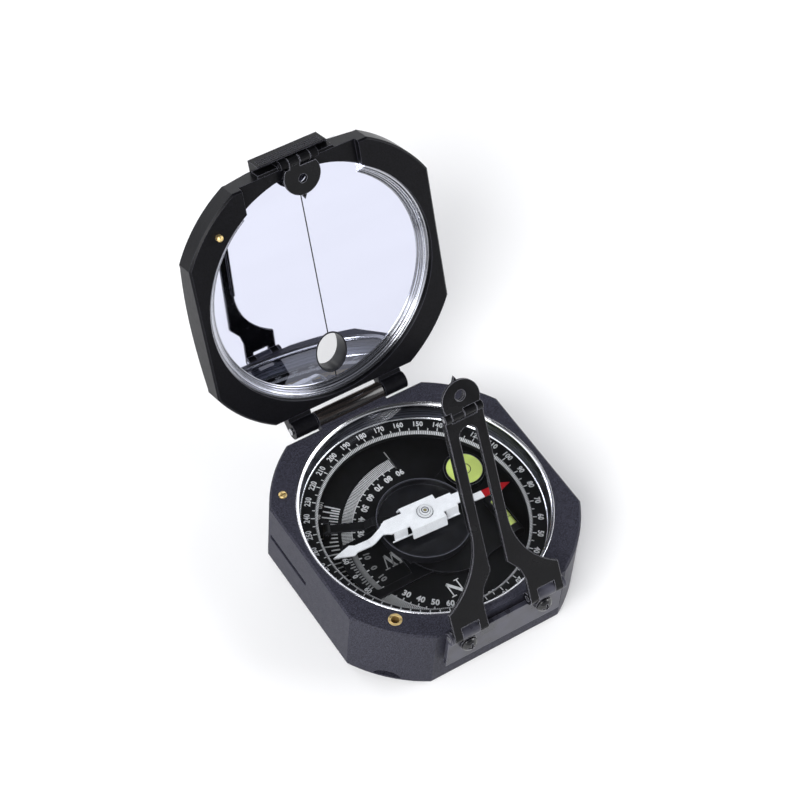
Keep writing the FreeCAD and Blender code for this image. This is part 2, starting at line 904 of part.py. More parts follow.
def needle_frame():
    low = needle_top - needle_thick
    barb = -needle_south + south_barb
    strip = needle_sheet(both_sides([
        (-needle_south, 0.0), (barb, barb_half_width), (barb + barb_lead, limb_half_width),
        (-bend_from - bend_round, limb_half_width), (wing_from, wing_half_width),
        (wing_to, wing_half_width), (wing_to, neck_half_width),
        (bend_from - 2 * bend_round, neck_half_width), (bend_from, limb_half_width),
        (red_from, limb_half_width),
    ]), -needle_south, red_from)
    saddle = block(saddle_from, saddle_to, -saddle_half_width, saddle_half_width, low,
                   needle_top)
    flange_low = needle_top - saddle_flange_drop
    pieces = [strip, saddle]
    for side in (-1, 1):
        outer = side * saddle_half_width
        flared = side * (saddle_half_width + saddle_flange_flare)
        section = [(outer, needle_top), (flared, flange_low), (flared - side * 0.5, flange_low),
                   (outer - side * 0.5, low)]
        pieces.append(bar_x(section, saddle_from, saddle_to))
        wing_edge = side * wing_half_width
        wing_low = needle_top - wing_flange_drop
        for x_from, x_to in ((wing_flange_from, saddle_from - 0.8), (saddle_to + 0.8, wing_to)):
            pieces.append(bar_x([
                (wing_edge, needle_top), (wing_edge + side * 0.9, wing_low),
                (wing_edge + side * 0.4, wing_low), (wing_edge - side * 0.5, low),
            ], x_from, x_to))
    frame = fuse(pieces)
    return needle_at(frame.cut(cylinder(cap_radius - 0.5, low - 1, needle_top + 1)))


def needle_red_tip():
    barb = needle_north - north_barb
    return needle_at(needle_sheet(both_sides([
        (red_from, limb_half_width), (barb - barb_lead, limb_half_width),
        (barb, barb_half_width), (needle_north, 0.0),
    ]), red_from, needle_north))


def needle_cap():
    low = needle_top - needle_thick
    cap = fuse([
        cylinder(cap_radius, needle_top, needle_top + cap_height / 2),
        cylinder(cap_step_radius, needle_top, needle_top + cap_height),
        cylinder(cap_radius - 0.5 - slip, low - 0.9, needle_top),
    ])
    hollow = cone(1.1, 0.15, low - 1.0, post_tip + hairline)
    socket = cylinder(jewel_radius + slip, jewel_seat, needle_top + 1)
    return needle_at(cap.cut(fuse([hollow, socket])))


def needle_jewel():
    """The bearing stone, set in the cap above the post's point."""
    return needle_at(cylinder(jewel_radius, jewel_seat, needle_top + cap_height - slip))


def needle_magnets():
    magnets = []
    high = needle_top - needle_thick
    x_from = magnet_middle - magnet_length / 2
    for side in (-1, 1):
        y_from = side * (wing_half_width - 0.5 - magnet_width / 2) - magnet_width / 2
        magnets.append(needle_at(block(x_from, x_from + magnet_length, y_from,
                                       y_from + magnet_width, high - magnet_height, high)))
    return magnets


# Needle lifter

lift_shelf = seat_bottom + 1.0
lift_shelf_thick = 0.6
lift_chamber_top = lift_shelf + 5.6
lift_collar_thick = 0.8
lift_collar_bottom = lift_chamber_top - hairline - lift_collar_thick
lifter_pivot_z = rotor_top + 0.9
lifter_outer_z = lifter_pivot_z - 0.75
lifter_over_cup = cup_floor + 0.7
lifter_knee = cup_radius + 3.0
lifter_knee_z = lifter_pivot_z + 1.3
lift_pin_along, lift_pin_across = polar(
    math.hypot(lift_pin_x, lift_pin_y),
    math.degrees(math.atan2(lift_pin_y, lift_pin_x)) - lifter_angle)
lifter_end = lift_pin_along + 0.8
lifter_foot_side = lift_pin_across - 1.2


def lifter_cuts():
    """The holes and the pocket in the case for the lift pin and the lifter's outer end."""
    x, y = lift_pin_x, lift_pin_y
    pocket = block(lifter_pivot_radius + 2, lifter_end + 0.5, lifter_foot_side - 0.4,
                   lifter_width / 2 + 0.6, dial_top + 0.4, lift_shelf)
    return [
        cylinder(lift_pin_radius + running, lift_chamber_top - 1, case_top + 1, x, y),
        cylinder(lift_chamber_radius + slip, lift_shelf - 0.5, lift_chamber_top, x, y),
        spun(pocket, lifter_angle).common(cylinder(outline_radius - 1.0, 0, case_top)),
    ]


def lift_pin():
    x, y = lift_pin_x, lift_pin_y
    foot = lifter_outer_z + lifter_thick / 2 + hairline / 2
    top = case_top + lift_pin_proud
    pin = fuse([
        cylinder(lift_stem_radius, foot, lift_collar_bottom, x, y),
        cylinder(lift_collar_radius, lift_collar_bottom,
                 lift_collar_bottom + lift_collar_thick, x, y),
        cylinder(lift_pin_radius, lift_collar_bottom, top, x, y),
    ])
    return pin.cut(block(x - 2, x + 2, y - 0.2, y + 0.2, top - 0.35, top + 1))


def lift_shelf_bush():
    return tube(lift_chamber_radius, lift_stem_radius + running, lift_shelf,
                lift_shelf + lift_shelf_thick, lift_pin_x, lift_pin_y)


def lift_spring():
    """A coil spring on the lift pin's stem, between the shelf bush and the pin's collar."""
    low = lift_shelf + lift_shelf_thick + slip
    high = lift_collar_bottom - slip
    height = high - low - 2 * spring_wire
    helix = Part.makeHelix(height / spring_turns, height, spring_radius)
    section = Part.Wire(Part.makeCircle(spring_wire, V(spring_radius, 0, 0), Y_AXIS))
    spring = Part.Wire(helix.Edges).makePipeShell([section], True, False)
    solid = spring.Solids[0] if spring.Solids else Part.Solid(spring)
    solid.translate(V(lift_pin_x, lift_pin_y, low + spring_wire))
    return solid


def lifter_bracket():
    """Two ears on the dial plate that hold the lifter's pivot pin."""
    low_x = lifter_pivot_radius - 1.0
    high_x = lifter_pivot_radius + 1.0
    inner = lifter_width / 2 + hairline
    outer = inner + lifter_ear
    ears = fuse([
        block(low_x, high_x, -outer, outer, dial_top, dial_top + 0.4),
        block(low_x, high_x, -outer, -inner, dial_top, lifter_pivot_z + 0.9),
        block(low_x, high_x, inner, outer, dial_top, lifter_pivot_z + 0.9),
    ])
    pin_hole = rod_y(lifter_pivot_pin + slip, -5, 5, lifter_pivot_radius, lifter_pivot_z)
    return spun(ears.cut(pin_hole), lifter_angle)


def lifter_pin():
    half = lifter_width / 2 + hairline + lifter_ear
    return spun(rod_y(lifter_pivot_pin, -half, half, lifter_pivot_radius, lifter_pivot_z),
                lifter_angle)


def lifter():
    """A sheet lever from under the lift pin, over the cup's rim, to the needle's post."""
    half = lifter_thick / 2
    centre = [
        (lifter_end, lifter_outer_z), (lifter_pivot_radius + 2.2, lifter_outer_z),
        (lifter_pivot_radius, lifter_pivot_z), (lifter_knee, lifter_knee_z),
        (cup_radius + 1.0, lifter_over_cup),
        (1.2, lifter_over_cup),
    ]
    section = [(r, h + half) for r, h in centre] + [(r, h - half) for r, h in reversed(centre)]
    corners = [V(r, -lifter_width / 2, h) for r, h in section]
    strip = Part.Face(Part.makePolygon(corners + corners[:1])).extrude(V(0, lifter_width, 0))
    foot = block(lifter_end - 3.0, lifter_end, lifter_foot_side, lifter_width / 2,
                 lifter_outer_z - half, lifter_outer_z + half)
    knuckle = rod_y(lifter_pivot_pin + 0.45, -lifter_width / 2, lifter_width / 2,
                    lifter_pivot_radius, lifter_pivot_z)
    sleeve = cylinder(post_neck_radius + 0.9, lifter_over_cup - half, lifter_sleeve_top)
    lever = fuse([strip, foot, knuckle, sleeve])
    cuts = Part.makeCompound([
        rod_y(lifter_pivot_pin + running, -5, 5, lifter_pivot_radius, lifter_pivot_z),
        cylinder(post_neck_radius + 0.35, lifter_over_cup - 2, lifter_sleeve_top + 1),
    ])
    return spun(lever.cut(cuts), lifter_angle)


# Lid, modelled closed and then opened

def window_prism():
    """The oval sighting window, through the mirror and the lid."""
    ellipse = Part.Ellipse(V(0, window_y + window_half_y, 0), V(window_half_x, window_y, 0),
                           V(0, window_y, 0))
    prism = Part.Face(Part.Wire(ellipse.toShape())).extrude(V(0, 0, 2 * lid_back))
    return prism


def lid_case():
    body = outline(lid_rim, lid_back)
    crown = cone(half_width + 4.6, half_width + 4.6 - lid_raise * 2.0, lid_edge, lid_back)
    body = body.common(fuse([outline(lid_rim, lid_edge), crown]))
    body = bevelled(body, edge_bevel, lambda e: is_rim(e, lid_rim))
    lugs = []
    for side in (-1, 1):
        x_from = min(side * lid_lug_from, side * lid_lug_to)
        x_to = max(side * lid_lug_from, side * lid_lug_to)
        barrel = rod_x(hinge_barrel, x_from, x_to, hinge_y, hinge_z)
        arm = bar_x([
            (back_flat - 0.4, lid_rim + 0.6), (back_flat - 0.4, lid_rim + 4.6),
            (back_flat + 0.8, lid_rim + 4.6), (hinge_y + 1.7, hinge_z + 1.7),
            (hinge_y, hinge_z), (back_flat + 1.0, lid_rim + 0.2),
        ], x_from, x_to)
        lugs.extend([barrel, arm])
    body = fuse([body] + lugs)
    cuts = [
        cylinder(lid_bore, lid_rim - 1, mirror_face),
        cylinder(mirror_radius + hairline, mirror_face - 1, mirror_back),
        block(-land_half_width, land_half_width, -front_flat - 1, -front_flat + 12,
              lid_rim - 1, lid_rim + land_depth),
        rod_x(hinge_pin_radius + running, -hinge_pin_half - 1, hinge_pin_half + 1,
              hinge_y, hinge_z),
        cylinder(latch_pin_radius + slip, lid_rim - 1, lid_rim + 2.0, latch_x, latch_y),
        window_prism(),
    ]
    for side in (-1, 1):
        x = side * sight_screw_x
        cuts.append(rod_y(sight_screw_shank + slip, -front_flat - 1, 0, x, sight_screw_z))
        cuts.append(rod_y(sight_screw_head + slip, -sight_screw_seat, 0, x, sight_screw_z))
    return body.cut(Part.makeCompound(cuts))


def mirror():
    return cylinder(mirror_radius, mirror_face, mirror_back).cut(window_prism())


def mirror_ring():
    low = lid_rim + 0.9
    outer = cylinder(lid_bore - slip, low, mirror_face)
    ring = outer.cut(cone(lid_bore - 0.8, mirror_radius - 2.4, low, mirror_face))
    return ring.cut(block(-ring_gap_half, ring_gap_half, -front_flat, 0, low - 1, mirror_face + 1))


def hinge_pin():
    return rod_x(hinge_pin_radius, -hinge_pin_half, hinge_pin_half, hinge_y, hinge_z)


def latch_pin():
    pin = cylinder(latch_pin_radius, lid_rim - latch_pin_reach + 0.4, lid_rim + 2.0, latch_x, latch_y)
    nose = cone(latch_pin_radius - 0.35, latch_pin_radius, lid_rim - latch_pin_reach,
                lid_rim - latch_pin_reach + 0.4, latch_x, latch_y)
    return fuse([pin, nose])


def sight_bracket():
    """A bar on the lid's free end, with two ears for the short sight's pin."""
    wall = -front_flat
    bar = bar_x([
        (wall, sight_web_low), (wall - sight_web, sight_web_low),
        (wall - sight_web, sight_bar_top - 1.0),
        (sight_bar_outer + 0.2, sight_bar_ridge), (sight_bar_outer, sight_bar_ridge + 0.3),
        (sight_bar_outer, sight_bar_top), (wall, sight_bar_top),
    ], -sight_bar_half, sight_bar_half)
    bevel = plate([
        (sight_bar_bevel, sight_bar_outer - 0.01), (sight_bar_half + 1, sight_bar_outer - 0.01),
        (sight_bar_half + 1, wall), (sight_bar_half, wall),
    ], sight_web_low - 1, sight_bar_top + 1)
    ribs = [bar_x([
        (sight_bar_outer - 1, z), (sight_bar_outer + 0.4, z), (sight_bar_outer + 0.4, z + 0.4),
        (sight_bar_outer - 1, z + 0.4),
    ], -sight_bar_half + 1.0, sight_bar_bevel - 1.0) for z in (
        sight_bar_ridge + 0.9, sight_bar_ridge + 1.9, sight_bar_ridge + 2.9)]
    ears = []
    for side in (-1, 1):
        x_from = min(side * sight_ear_from, side * sight_ear_to)
        x_to = max(side * sight_ear_from, side * sight_ear_to)
        ears.append(rod_x(sight_barrel, x_from, x_to, sight_pin_y, sight_pin_z))
        ears.append(block(x_from, x_to, sight_pin_y - sight_barrel, sight_pin_y + sight_barrel,
                          sight_pin_z, sight_bar_top - 1.0))
    body = fuse([bar] + ears)
    cuts = ribs + [bevel, rod_x(sight_pin_radius + slip, -8, 8, sight_pin_y, sight_pin_z)]
    for side in (-1, 1):
        x = side * sight_screw_x
        cuts.append(rod_y(sight_screw_shank + slip, wall - sight_screw_grip - hairline, wall + 1,
                          x, sight_screw_z))
    return body.cut(Part.makeCompound(cuts))


def sight_screws():
    seat = -sight_screw_seat
    screws = []
    for x in (-sight_screw_x, sight_screw_x):
        screw = fuse([
            rod_y(sight_screw_head, seat, seat + 0.6, x, sight_screw_z),
            rod_y(sight_screw_shank, -front_flat - sight_screw_grip, seat, x, sight_screw_z),
        ])
        slot = block(x - 1, x + 1, seat + 0.4, seat + 1, sight_screw_z - 0.12,
                     sight_screw_z + 0.12)
        screws.append(screw.cut(slot))
    return screws


def sight_pin():
    return rod_x(sight_pin_radius, -sight_ear_to, sight_ear_to, sight_pin_y, sight_pin_z)


def leaf_disc(pin_y, pin_z, low, barrel, centre, hole_at, hole, knuckle_from, knuckle_to, bore):
    """A round peep leaf lying along +Y from its pin, cut back clear of the ears."""
    high = low + leaf_thick
    disc = cylinder(leaf_radius, low, high, 0, pin_y + centre)
    disc = disc.cut(block(-9, 9, pin_y - 9, pin_y + barrel + 0.35, low - 1, high + 1))
    neck = block(knuckle_from, knuckle_to, pin_y, pin_y + barrel + 1.0, low, high)
    knuckle = rod_x(barrel, knuckle_from, knuckle_to, pin_y, pin_z)
    leaf = fuse([disc, neck, knuckle])
    leaf = leaf.cut(rod_x(bore, -9, 9, pin_y, pin_z))
    return leaf.cut(cylinder(hole, low - 1, high + 1, 0, pin_y + hole_at))


def leaf_pointer(pin_y, pin_z, low, barrel, reach, hole_at, knuckle_from, knuckle_to, bore):
    """A pointed leaf lying along +Y from its pin."""
    high = low + leaf_thick
    half = 3.1
    body = plate([
        (-half, pin_y + barrel + 0.35), (half, pin_y + barrel + 0.35), (half, pin_y + reach - 5.0),
        (1.5, pin_y + reach - 3.0), (0, pin_y + reach), (-1.5, pin_y + reach - 3.0),
        (-half, pin_y + reach - 5.0),
    ], low, high)
    neck = block(knuckle_from, knuckle_to, pin_y, pin_y + barrel + 1.0, low, high)
    knuckle = rod_x(barrel, knuckle_from, knuckle_to, pin_y, pin_z)
    leaf = fuse([body, neck, knuckle])
    leaf = leaf.cut(rod_x(bore, -9, 9, pin_y, pin_z))
    return leaf.cut(cylinder(1.6, low - 1, high + 1, 0, pin_y + hole_at))


def lid_peep_leaf():
    low = sight_pin_z - 1.0
    return leaf_disc(sight_pin_y, sight_pin_z, low, sight_barrel, leaf_centre, leaf_hole_at,
                     leaf_hole_radius, -sight_ear_from + hairline, -hairline,
                     sight_pin_radius + running)


def lid_point_leaf():
    low = sight_pin_z - 1.0 + leaf_thick + 0.15
    return leaf_pointer(sight_pin_y, sight_pin_z, low, sight_barrel, point_reach, leaf_hole_at,
                        hairline, sight_ear_from - hairline, sight_pin_radius + running)


# Sight arm, modelled flat over the glass and then raised

arm_low = arm_hinge_z + arm_barrel - arm_thick
arm_high = arm_hinge_z + arm_barrel
tip_pin_y = arm_hinge_y + tip_pin_s
tip_pin_z = (arm_low + arm_high) / 2.0


def arm_face_half():
    """The right half of the arm's outline, as x and distance from the hinge axis."""
    lines = []

    def point(x, s):
        return V(x, arm_hinge_y + s, arm_low)

    rail_start = 27.0
    corner = point(arm_foot_outer, 7.7)
    bend = point(8.9, 15.4)
    rail = point(arm_rail_outer, rail_start)
    head = point(arm_rail_outer, arm_head_end)
    head_middle = point(0, arm_head_end)
    slot_top = point(0, arm_slot_top + arm_slot_half)
    slot_side = point(arm_slot_half, arm_slot_top)
    slot_mid = point(arm_slot_half * math.cos(math.radians(45)),
                     arm_slot_top + arm_slot_half * math.sin(math.radians(45)))
    slot_low = point(arm_slot_half, 14.4)
    knee = point(5.6, 10.6)
    foot_in = point(arm_foot_inner, 7.0)
    lines.append(Part.LineSegment(point(arm_foot_outer, 0), corner).toShape())
    lines.append(Part.Arc(corner, bend, rail).toShape())
    lines.append(Part.LineSegment(rail, head).toShape())
    lines.append(Part.LineSegment(head, head_middle).toShape())
    lines.append(Part.LineSegment(head_middle, slot_top).toShape())
    lines.append(Part.Arc(slot_top, slot_mid, slot_side).toShape())
    lines.append(Part.LineSegment(slot_side, slot_low).toShape())
    lines.append(Part.LineSegment(slot_low, knee).toShape())
    lines.append(Part.LineSegment(knee, foot_in).toShape())
    lines.append(Part.LineSegment(foot_in, point(arm_foot_inner, 0)).toShape())
    lines.append(Part.LineSegment(point(arm_foot_inner, 0), point(arm_foot_outer, 0)).toShape())
    return Part.Face(Part.Wire(lines))


def sight_arm():
    half = arm_face_half().extrude(V(0, 0, arm_thick))
    sheet = fuse([half, mirrored(half)])
    sheet = bevelled(sheet, arm_bevel, lambda e: is_level(e, arm_high)
                     and e.CenterOfMass.y > arm_hinge_y + 1)
    pieces = [sheet]
    for side in (-1, 1):
        for x_near, x_far in ((arm_foot_inner, arm_knuckle_from - hairline),
                              (arm_knuckle_to + hairline, arm_foot_outer)):
            x_from = min(side * x_near, side * x_far)
            x_to = max(side * x_near, side * x_far)
            pieces.append(rod_x(arm_barrel, x_from, x_to, arm_hinge_y, arm_hinge_z))
        x_from = min(side * tip_ear_from, side * arm_rail_outer)
        x_to = max(side * tip_ear_from, side * arm_rail_outer)
        pieces.append(rod_x(tip_barrel, x_from, x_to, tip_pin_y, tip_pin_z))
        pieces.append(block(x_from, x_to, tip_pin_y - 2.0, tip_pin_y, arm_low, arm_high))
        flange_x = min(side * arm_rail_outer, side * (arm_rail_outer - arm_flange_thick))
        pieces.append(block(flange_x, flange_x + arm_flange_thick, arm_hinge_y + 27.0,
                            arm_hinge_y + arm_head_end, arm_low - arm_flange, arm_low + 0.1))
    arm = fuse(pieces)
    cuts = [rod_x(arm_pin_radius + running, -20, 20, arm_hinge_y, arm_hinge_z),
            rod_x(tip_pin_radius + slip, -9, 9, tip_pin_y, tip_pin_z)]
    for side in (-1, 1):
        x_from = min(side * (arm_knuckle_from - hairline), side * (arm_knuckle_to + hairline))
        x_to = max(side * (arm_knuckle_from - hairline), side * (arm_knuckle_to + hairline))
        cuts.append(block(x_from, x_to, arm_hinge_y - 3, arm_hinge_y + 2.7,
                          arm_low - 3, arm_high + 1))
    return arm.cut(Part.makeCompound(cuts))


def arm_pins():
    return [rod_x(arm_pin_radius, min(side * arm_foot_inner, side * bracket_half),
                  max(side * arm_foot_inner, side * bracket_half), arm_hinge_y, arm_hinge_z)
            for side in (-1, 1)]


def tip_pin():
    return rod_x(tip_pin_radius, -arm_rail_outer, arm_rail_outer, tip_pin_y, tip_pin_z)


def arm_peep_leaf():
    low = tip_pin_z + 0.2
    return leaf_disc(tip_pin_y, tip_pin_z, low, tip_barrel, peep_centre, peep_hole_at,
                     peep_hole_radius, -tip_ear_from + hairline, -hairline,
                     tip_pin_radius + running)


def arm_point_leaf():
    low = tip_pin_z - 0.2 - leaf_thick
    return leaf_pointer(tip_pin_y, tip_pin_z, low, tip_barrel, pointer_reach, peep_hole_at,
                        hairline, tip_ear_from - hairline, tip_pin_radius + running)


# Front bracket

def arm_bracket():
    inner_y = bracket_outer_y + bracket_thick
    body = block(-bracket_half, bracket_half, bracket_outer_y, inner_y, bracket_low, bracket_high)
    pieces = [body]
    for side in (-1, 1):
        x = side * bracket_screw_x
        pieces.append(rod_y(3.0, inner_y - 0.2, -front_flat, x, bracket_screw_z - 0.9))
        x_from = min(side * arm_knuckle_from, side * arm_knuckle_to)
        x_to = max(side * arm_knuckle_from, side * arm_knuckle_to)
        pieces.append(rod_x(arm_barrel, x_from, x_to, arm_hinge_y, arm_hinge_z))
        pieces.append(block(x_from, x_to, bracket_outer_y, inner_y, bracket_high - 1,
                            arm_hinge_z))
        ear_from = min(side * (bracket_half - bracket_ear), side * bracket_half)
        pieces.append(rod_x(arm_barrel, ear_from, ear_from + bracket_ear, arm_hinge_y,
                            arm_hinge_z))
        pieces.append(block(ear_from, ear_from + bracket_ear, bracket_outer_y, inner_y,
                            bracket_high - 1, arm_hinge_z))
    body = fuse(pieces)
    cuts = [rod_x(arm_pin_radius + slip, -20, 20, arm_hinge_y, arm_hinge_z)]
    for side in (-1, 1):
        cuts.append(rod_y(bracket_screw_shank + 0.1, bracket_outer_y - 1, -front_flat + 1,
                          side * bracket_screw_x, bracket_screw_z))
    return body.cut(Part.makeCompound(cuts))


def bracket_washers():
    return [rod_y(washer_radius, bracket_outer_y - washer_thick, bracket_outer_y, x,
                  bracket_screw_z).cut(
        rod_y(bracket_screw_shank + 0.1, bracket_outer_y - 3, bracket_outer_y + 1, x,
              bracket_screw_z)) for x in (-bracket_screw_x, bracket_screw_x)]


def bracket_screws():
    screws = []
    seat = bracket_outer_y - washer_thick
    for x in (-bracket_screw_x, bracket_screw_x):
        dome_radius = (bracket_head_radius ** 2 + bracket_head_height ** 2) \
            / (2 * bracket_head_height) + 0.3
        dome = Part.makeSphere(dome_radius, V(x, seat - bracket_head_height + dome_radius,
                                              bracket_screw_z))
        head = rod_y(bracket_head_radius, seat - bracket_head_height, seat, x,
                     bracket_screw_z).common(dome)
        shank = rod_y(bracket_screw_shank, seat - 0.1, -front_flat + bracket_screw_grip, x,
                      bracket_screw_z)
        screw = fuse([head, shank])
        for width, height in ((2.6, 0.55), (0.55, 2.6)):
            screw = screw.cut(block(x - width / 2, x + width / 2,
                                    seat - bracket_head_height - 1,
                                    seat - bracket_head_height + 0.9,
                                    bracket_screw_z - height / 2, bracket_screw_z + height / 2))
        screws.append(screw)
    return screws


os.makedirs("parts", exist_ok=True)

export("base_case", [base_case()])
export("bottom_cover", [bottom_cover()])
export("cover_screws", cover_screws())
export("dial_plate", [dial_plate()])
export("dial_screws", dial_screws())
export("latch_bush", [latch_bush()])
export("azimuth_ring", [azimuth_ring()])
export("ring_gear", [ring_gear()])
export("ring_seat", [ring_seat()])
export("adjusting_pinion", [adjusting_pinion()])
export("adjusting_knob", [adjusting_knob()])
export("glass_liner", [glass_liner()])
export("window_glass", [window_glass()])
export("glass_bezel", [glass_bezel()])
export("clinometer_bush", [clinometer_bush()])
export("clinometer_shaft", [clinometer_shaft()])
export("hub_screw", [hub_screw()])
export("clinometer_arm", [clinometer_arm()])
export("vernier_plate", [vernier_plate()])
export("vernier_rivets", vernier_rivets())
export("round_level_housing", [round_level_housing()])
export("round_level_vial", [round_level_vial()])
export("tube_level_holder", [tube_level_holder()])
export("tube_level_vial", [tube_level_vial()])
export("friction_washer", [friction_washer()])
export("clinometer_lever", [clinometer_lever()])
export("lever_screw", [lever_screw()])
export("pivot_post", [pivot_post()])
export("damping_cup", [damping_cup()])
export("needle_frame", [needle_frame()])
export("needle_red_tip", [needle_red_tip()])
export("needle_cap", [needle_cap()])
export("needle_jewel", [needle_jewel()])
export("needle_magnets", needle_magnets())
export("lift_pin", [lift_pin()])
export("lift_shelf_bush", [lift_shelf_bush()])
export("lift_spring", [lift_spring()])
export("lifter_bracket", [lifter_bracket()])
export("lifter_pin", [lifter_pin()])
export("lifter", [lifter()])
export("arm_bracket", [arm_bracket()])
export("bracket_washers", bracket_washers())
export("bracket_screws", bracket_screws())
export("arm_pins", arm_pins())
export("sight_arm", [raised(sight_arm())])
export("tip_pin", [raised(tip_pin())])
export("arm_peep_leaf", [raised(arm_peep_leaf())])
export("arm_point_leaf", [raised(arm_point_leaf())])
export("hinge_pin", [hinge_pin()])
export("lid_case", [opened(lid_case())])
export("mirror", [opened(mirror())])
export("mirror_ring", [opened(mirror_ring())])
export("latch_pin", [opened(latch_pin())])
export("sight_bracket", [opened(sight_bracket())])
export("sight_screws", [opened(s) for s in sight_screws()])
export("sight_pin", [opened(sight_pin())])
export("lid_peep_leaf", [opened(lid_peep_leaf())])
export("lid_point_leaf", [opened(lid_point_leaf())])
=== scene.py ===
"""Finish, print and small trim of a geological compass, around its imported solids.

Lengths are in millimetres, but for the stage's, and MM turns them to metres. Angles are in
degrees. The Z axis goes up through the needle's pivot, and +Y points to the lid's hinge.
"""

import json
import math
from contextlib import contextmanager

import bpy
from bpy.props import FloatProperty, PointerProperty, StringProperty
from mathutils import Matrix, Vector


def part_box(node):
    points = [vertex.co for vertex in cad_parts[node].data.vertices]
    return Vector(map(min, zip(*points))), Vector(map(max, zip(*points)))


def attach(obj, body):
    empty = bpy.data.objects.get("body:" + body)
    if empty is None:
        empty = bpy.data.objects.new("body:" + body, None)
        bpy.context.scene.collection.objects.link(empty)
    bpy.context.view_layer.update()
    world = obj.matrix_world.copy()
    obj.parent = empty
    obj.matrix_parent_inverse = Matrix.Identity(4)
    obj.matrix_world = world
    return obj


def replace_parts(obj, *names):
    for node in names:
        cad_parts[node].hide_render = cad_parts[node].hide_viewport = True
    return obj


bl_info = {
    "name": "Geological compass",
    "version": (1, 0, 0),
    "blender": (4, 5, 0),
    "location": "3D View > Sidebar > Compass",
    "description": "Finish, print and trim of a folding geological compass",
    "category": "Object",
}

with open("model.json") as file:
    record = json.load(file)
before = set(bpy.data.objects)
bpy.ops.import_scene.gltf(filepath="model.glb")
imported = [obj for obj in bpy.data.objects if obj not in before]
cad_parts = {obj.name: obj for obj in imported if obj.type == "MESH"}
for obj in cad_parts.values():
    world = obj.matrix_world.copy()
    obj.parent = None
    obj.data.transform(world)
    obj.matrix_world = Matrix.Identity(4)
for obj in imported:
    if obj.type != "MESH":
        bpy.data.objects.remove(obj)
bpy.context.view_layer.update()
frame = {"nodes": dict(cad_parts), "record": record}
JOINTS = {joint["name"]: joint for joint in frame["record"]["behaviour"]["joints"]}
FINISHES = {}
MM = 0.001
# Points closer than this, in metres, are one point
WELD = 1e-7
# Height of the mirror's face with the lid shut
MIRROR_FACE = 26.2


# Small helpers

def linear(hex_colour):
    """A screen colour such as 1a1b1d as linear red, green, blue and one."""
    parts = [int(hex_colour[i:i + 2], 16) / 255 for i in (0, 2, 4)]
    return [p / 12.92 if p <= 0.04045 else ((p + 0.055) / 1.055) ** 2.4 for p in parts] + [1.0]


def shade(hex_colour, factor):
    """The same colour, darker below one and lighter above it."""
    parts = [min(255, round(int(hex_colour[i:i + 2], 16) * factor)) for i in (0, 2, 4)]
    return "".join("%02x" % part for part in parts)


def rotation(angle, axis):
    """A turn of so many degrees about an axis."""
    return Matrix.Rotation(math.radians(angle), 4, axis)


def at(x, y, z, heading=0.0):
    """A place in millimetres and a turn about Z in degrees."""
    return Matrix.Translation(Vector((x, y, z)) * MM) @ rotation(heading, "Z")


def polar(radius, angle, x=0.0, y=0.0):
    """The point at a radius and an angle from a centre."""
    return x + radius * math.cos(math.radians(angle)), y + radius * math.sin(math.radians(angle))


def middle(node):
    """The middle of a solid's box, in millimetres."""
    low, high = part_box(node)
    return (low + high) / 2 / MM


def top_of(node):
    """The height of a solid's top, in millimetres."""
    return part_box(node)[1].z / MM


def lid_opening():
    """Turns a piece from the closed lid, where it is level, to the open lid."""
    lid = JOINTS["lid_hinge"]
    hinge = Matrix.Translation(Vector(lid["pos_m"]))
    return hinge @ rotation(lid["range_deg"][0], "X") @ hinge.inverted()


# Work on a mesh

def deselect():
    """Leaves edit mode, and leaves nothing selected."""
    if bpy.context.object and bpy.context.object.mode != "OBJECT":
        bpy.ops.object.mode_set(mode="OBJECT")
    bpy.ops.object.select_all(action="DESELECT")


@contextmanager
def editing():
    """Edit mode, with all of the active piece selected."""
    bpy.ops.object.mode_set(mode="EDIT")
    bpy.ops.mesh.select_all(action="SELECT")
    yield
    bpy.ops.object.mode_set(mode="OBJECT")


def weld():
    """In edit mode, makes one point of those that lie together."""
    bpy.ops.mesh.select_all(action="SELECT")
    bpy.ops.mesh.remove_doubles(threshold=WELD)


def face_outwards():
    """In edit mode, points every face of the piece outwards."""
    bpy.ops.mesh.select_all(action="SELECT")
    bpy.ops.mesh.normals_make_consistent(inside=False)


def new_plane(size=1.0):
    """A square of so many metres on the X and Y axes, the only piece selected."""
    deselect()
    bpy.ops.mesh.primitive_plane_add(size=size, location=(0, 0, 0))
    return bpy.context.object


def spin(piece, sweep, steps):
    """Spins an upright section about the Z axis, anticlockwise, and welds it."""
    with editing():
        bpy.ops.mesh.spin(steps=steps, angle=-math.radians(sweep), center=(0, 0, 0),
                          axis=(0, 0, 1))
        weld()
        face_outwards()
    return piece


def cut_off(point, normal):
    """In edit mode, cuts away what lies behind a plane, and closes the cut."""
    bpy.ops.mesh.bisect(plane_co=Vector(point) * MM, plane_no=normal, use_fill=True,
                        clear_inner=True, threshold=WELD)
    face_outwards()


def place(piece, matrix):
    """Puts a piece's place into its mesh, and leaves its object at the origin."""
    piece.data.transform(matrix)
    piece.data.update()


def joined(pieces, name):
    """The pieces as one, under the name."""
    deselect()
    for piece in pieces:
        piece.select_set(True)
    bpy.context.view_layer.objects.active = pieces[0]
    if len(pieces) > 1:
        bpy.ops.object.join()
    whole = bpy.context.object
    whole.name = name
    whole.data.name = name
    return whole


def dealt(piece, matrices):
    """One copy of the piece for each matrix, each with its own mesh, joined."""
    copies = []
    for matrix in matrices:
        copy = piece.copy()
        copy.data = piece.data.copy()
        bpy.context.collection.objects.link(copy)
        place(copy, matrix)
        copies.append(copy)
    bpy.data.objects.remove(piece)
    return joined(copies, "row")


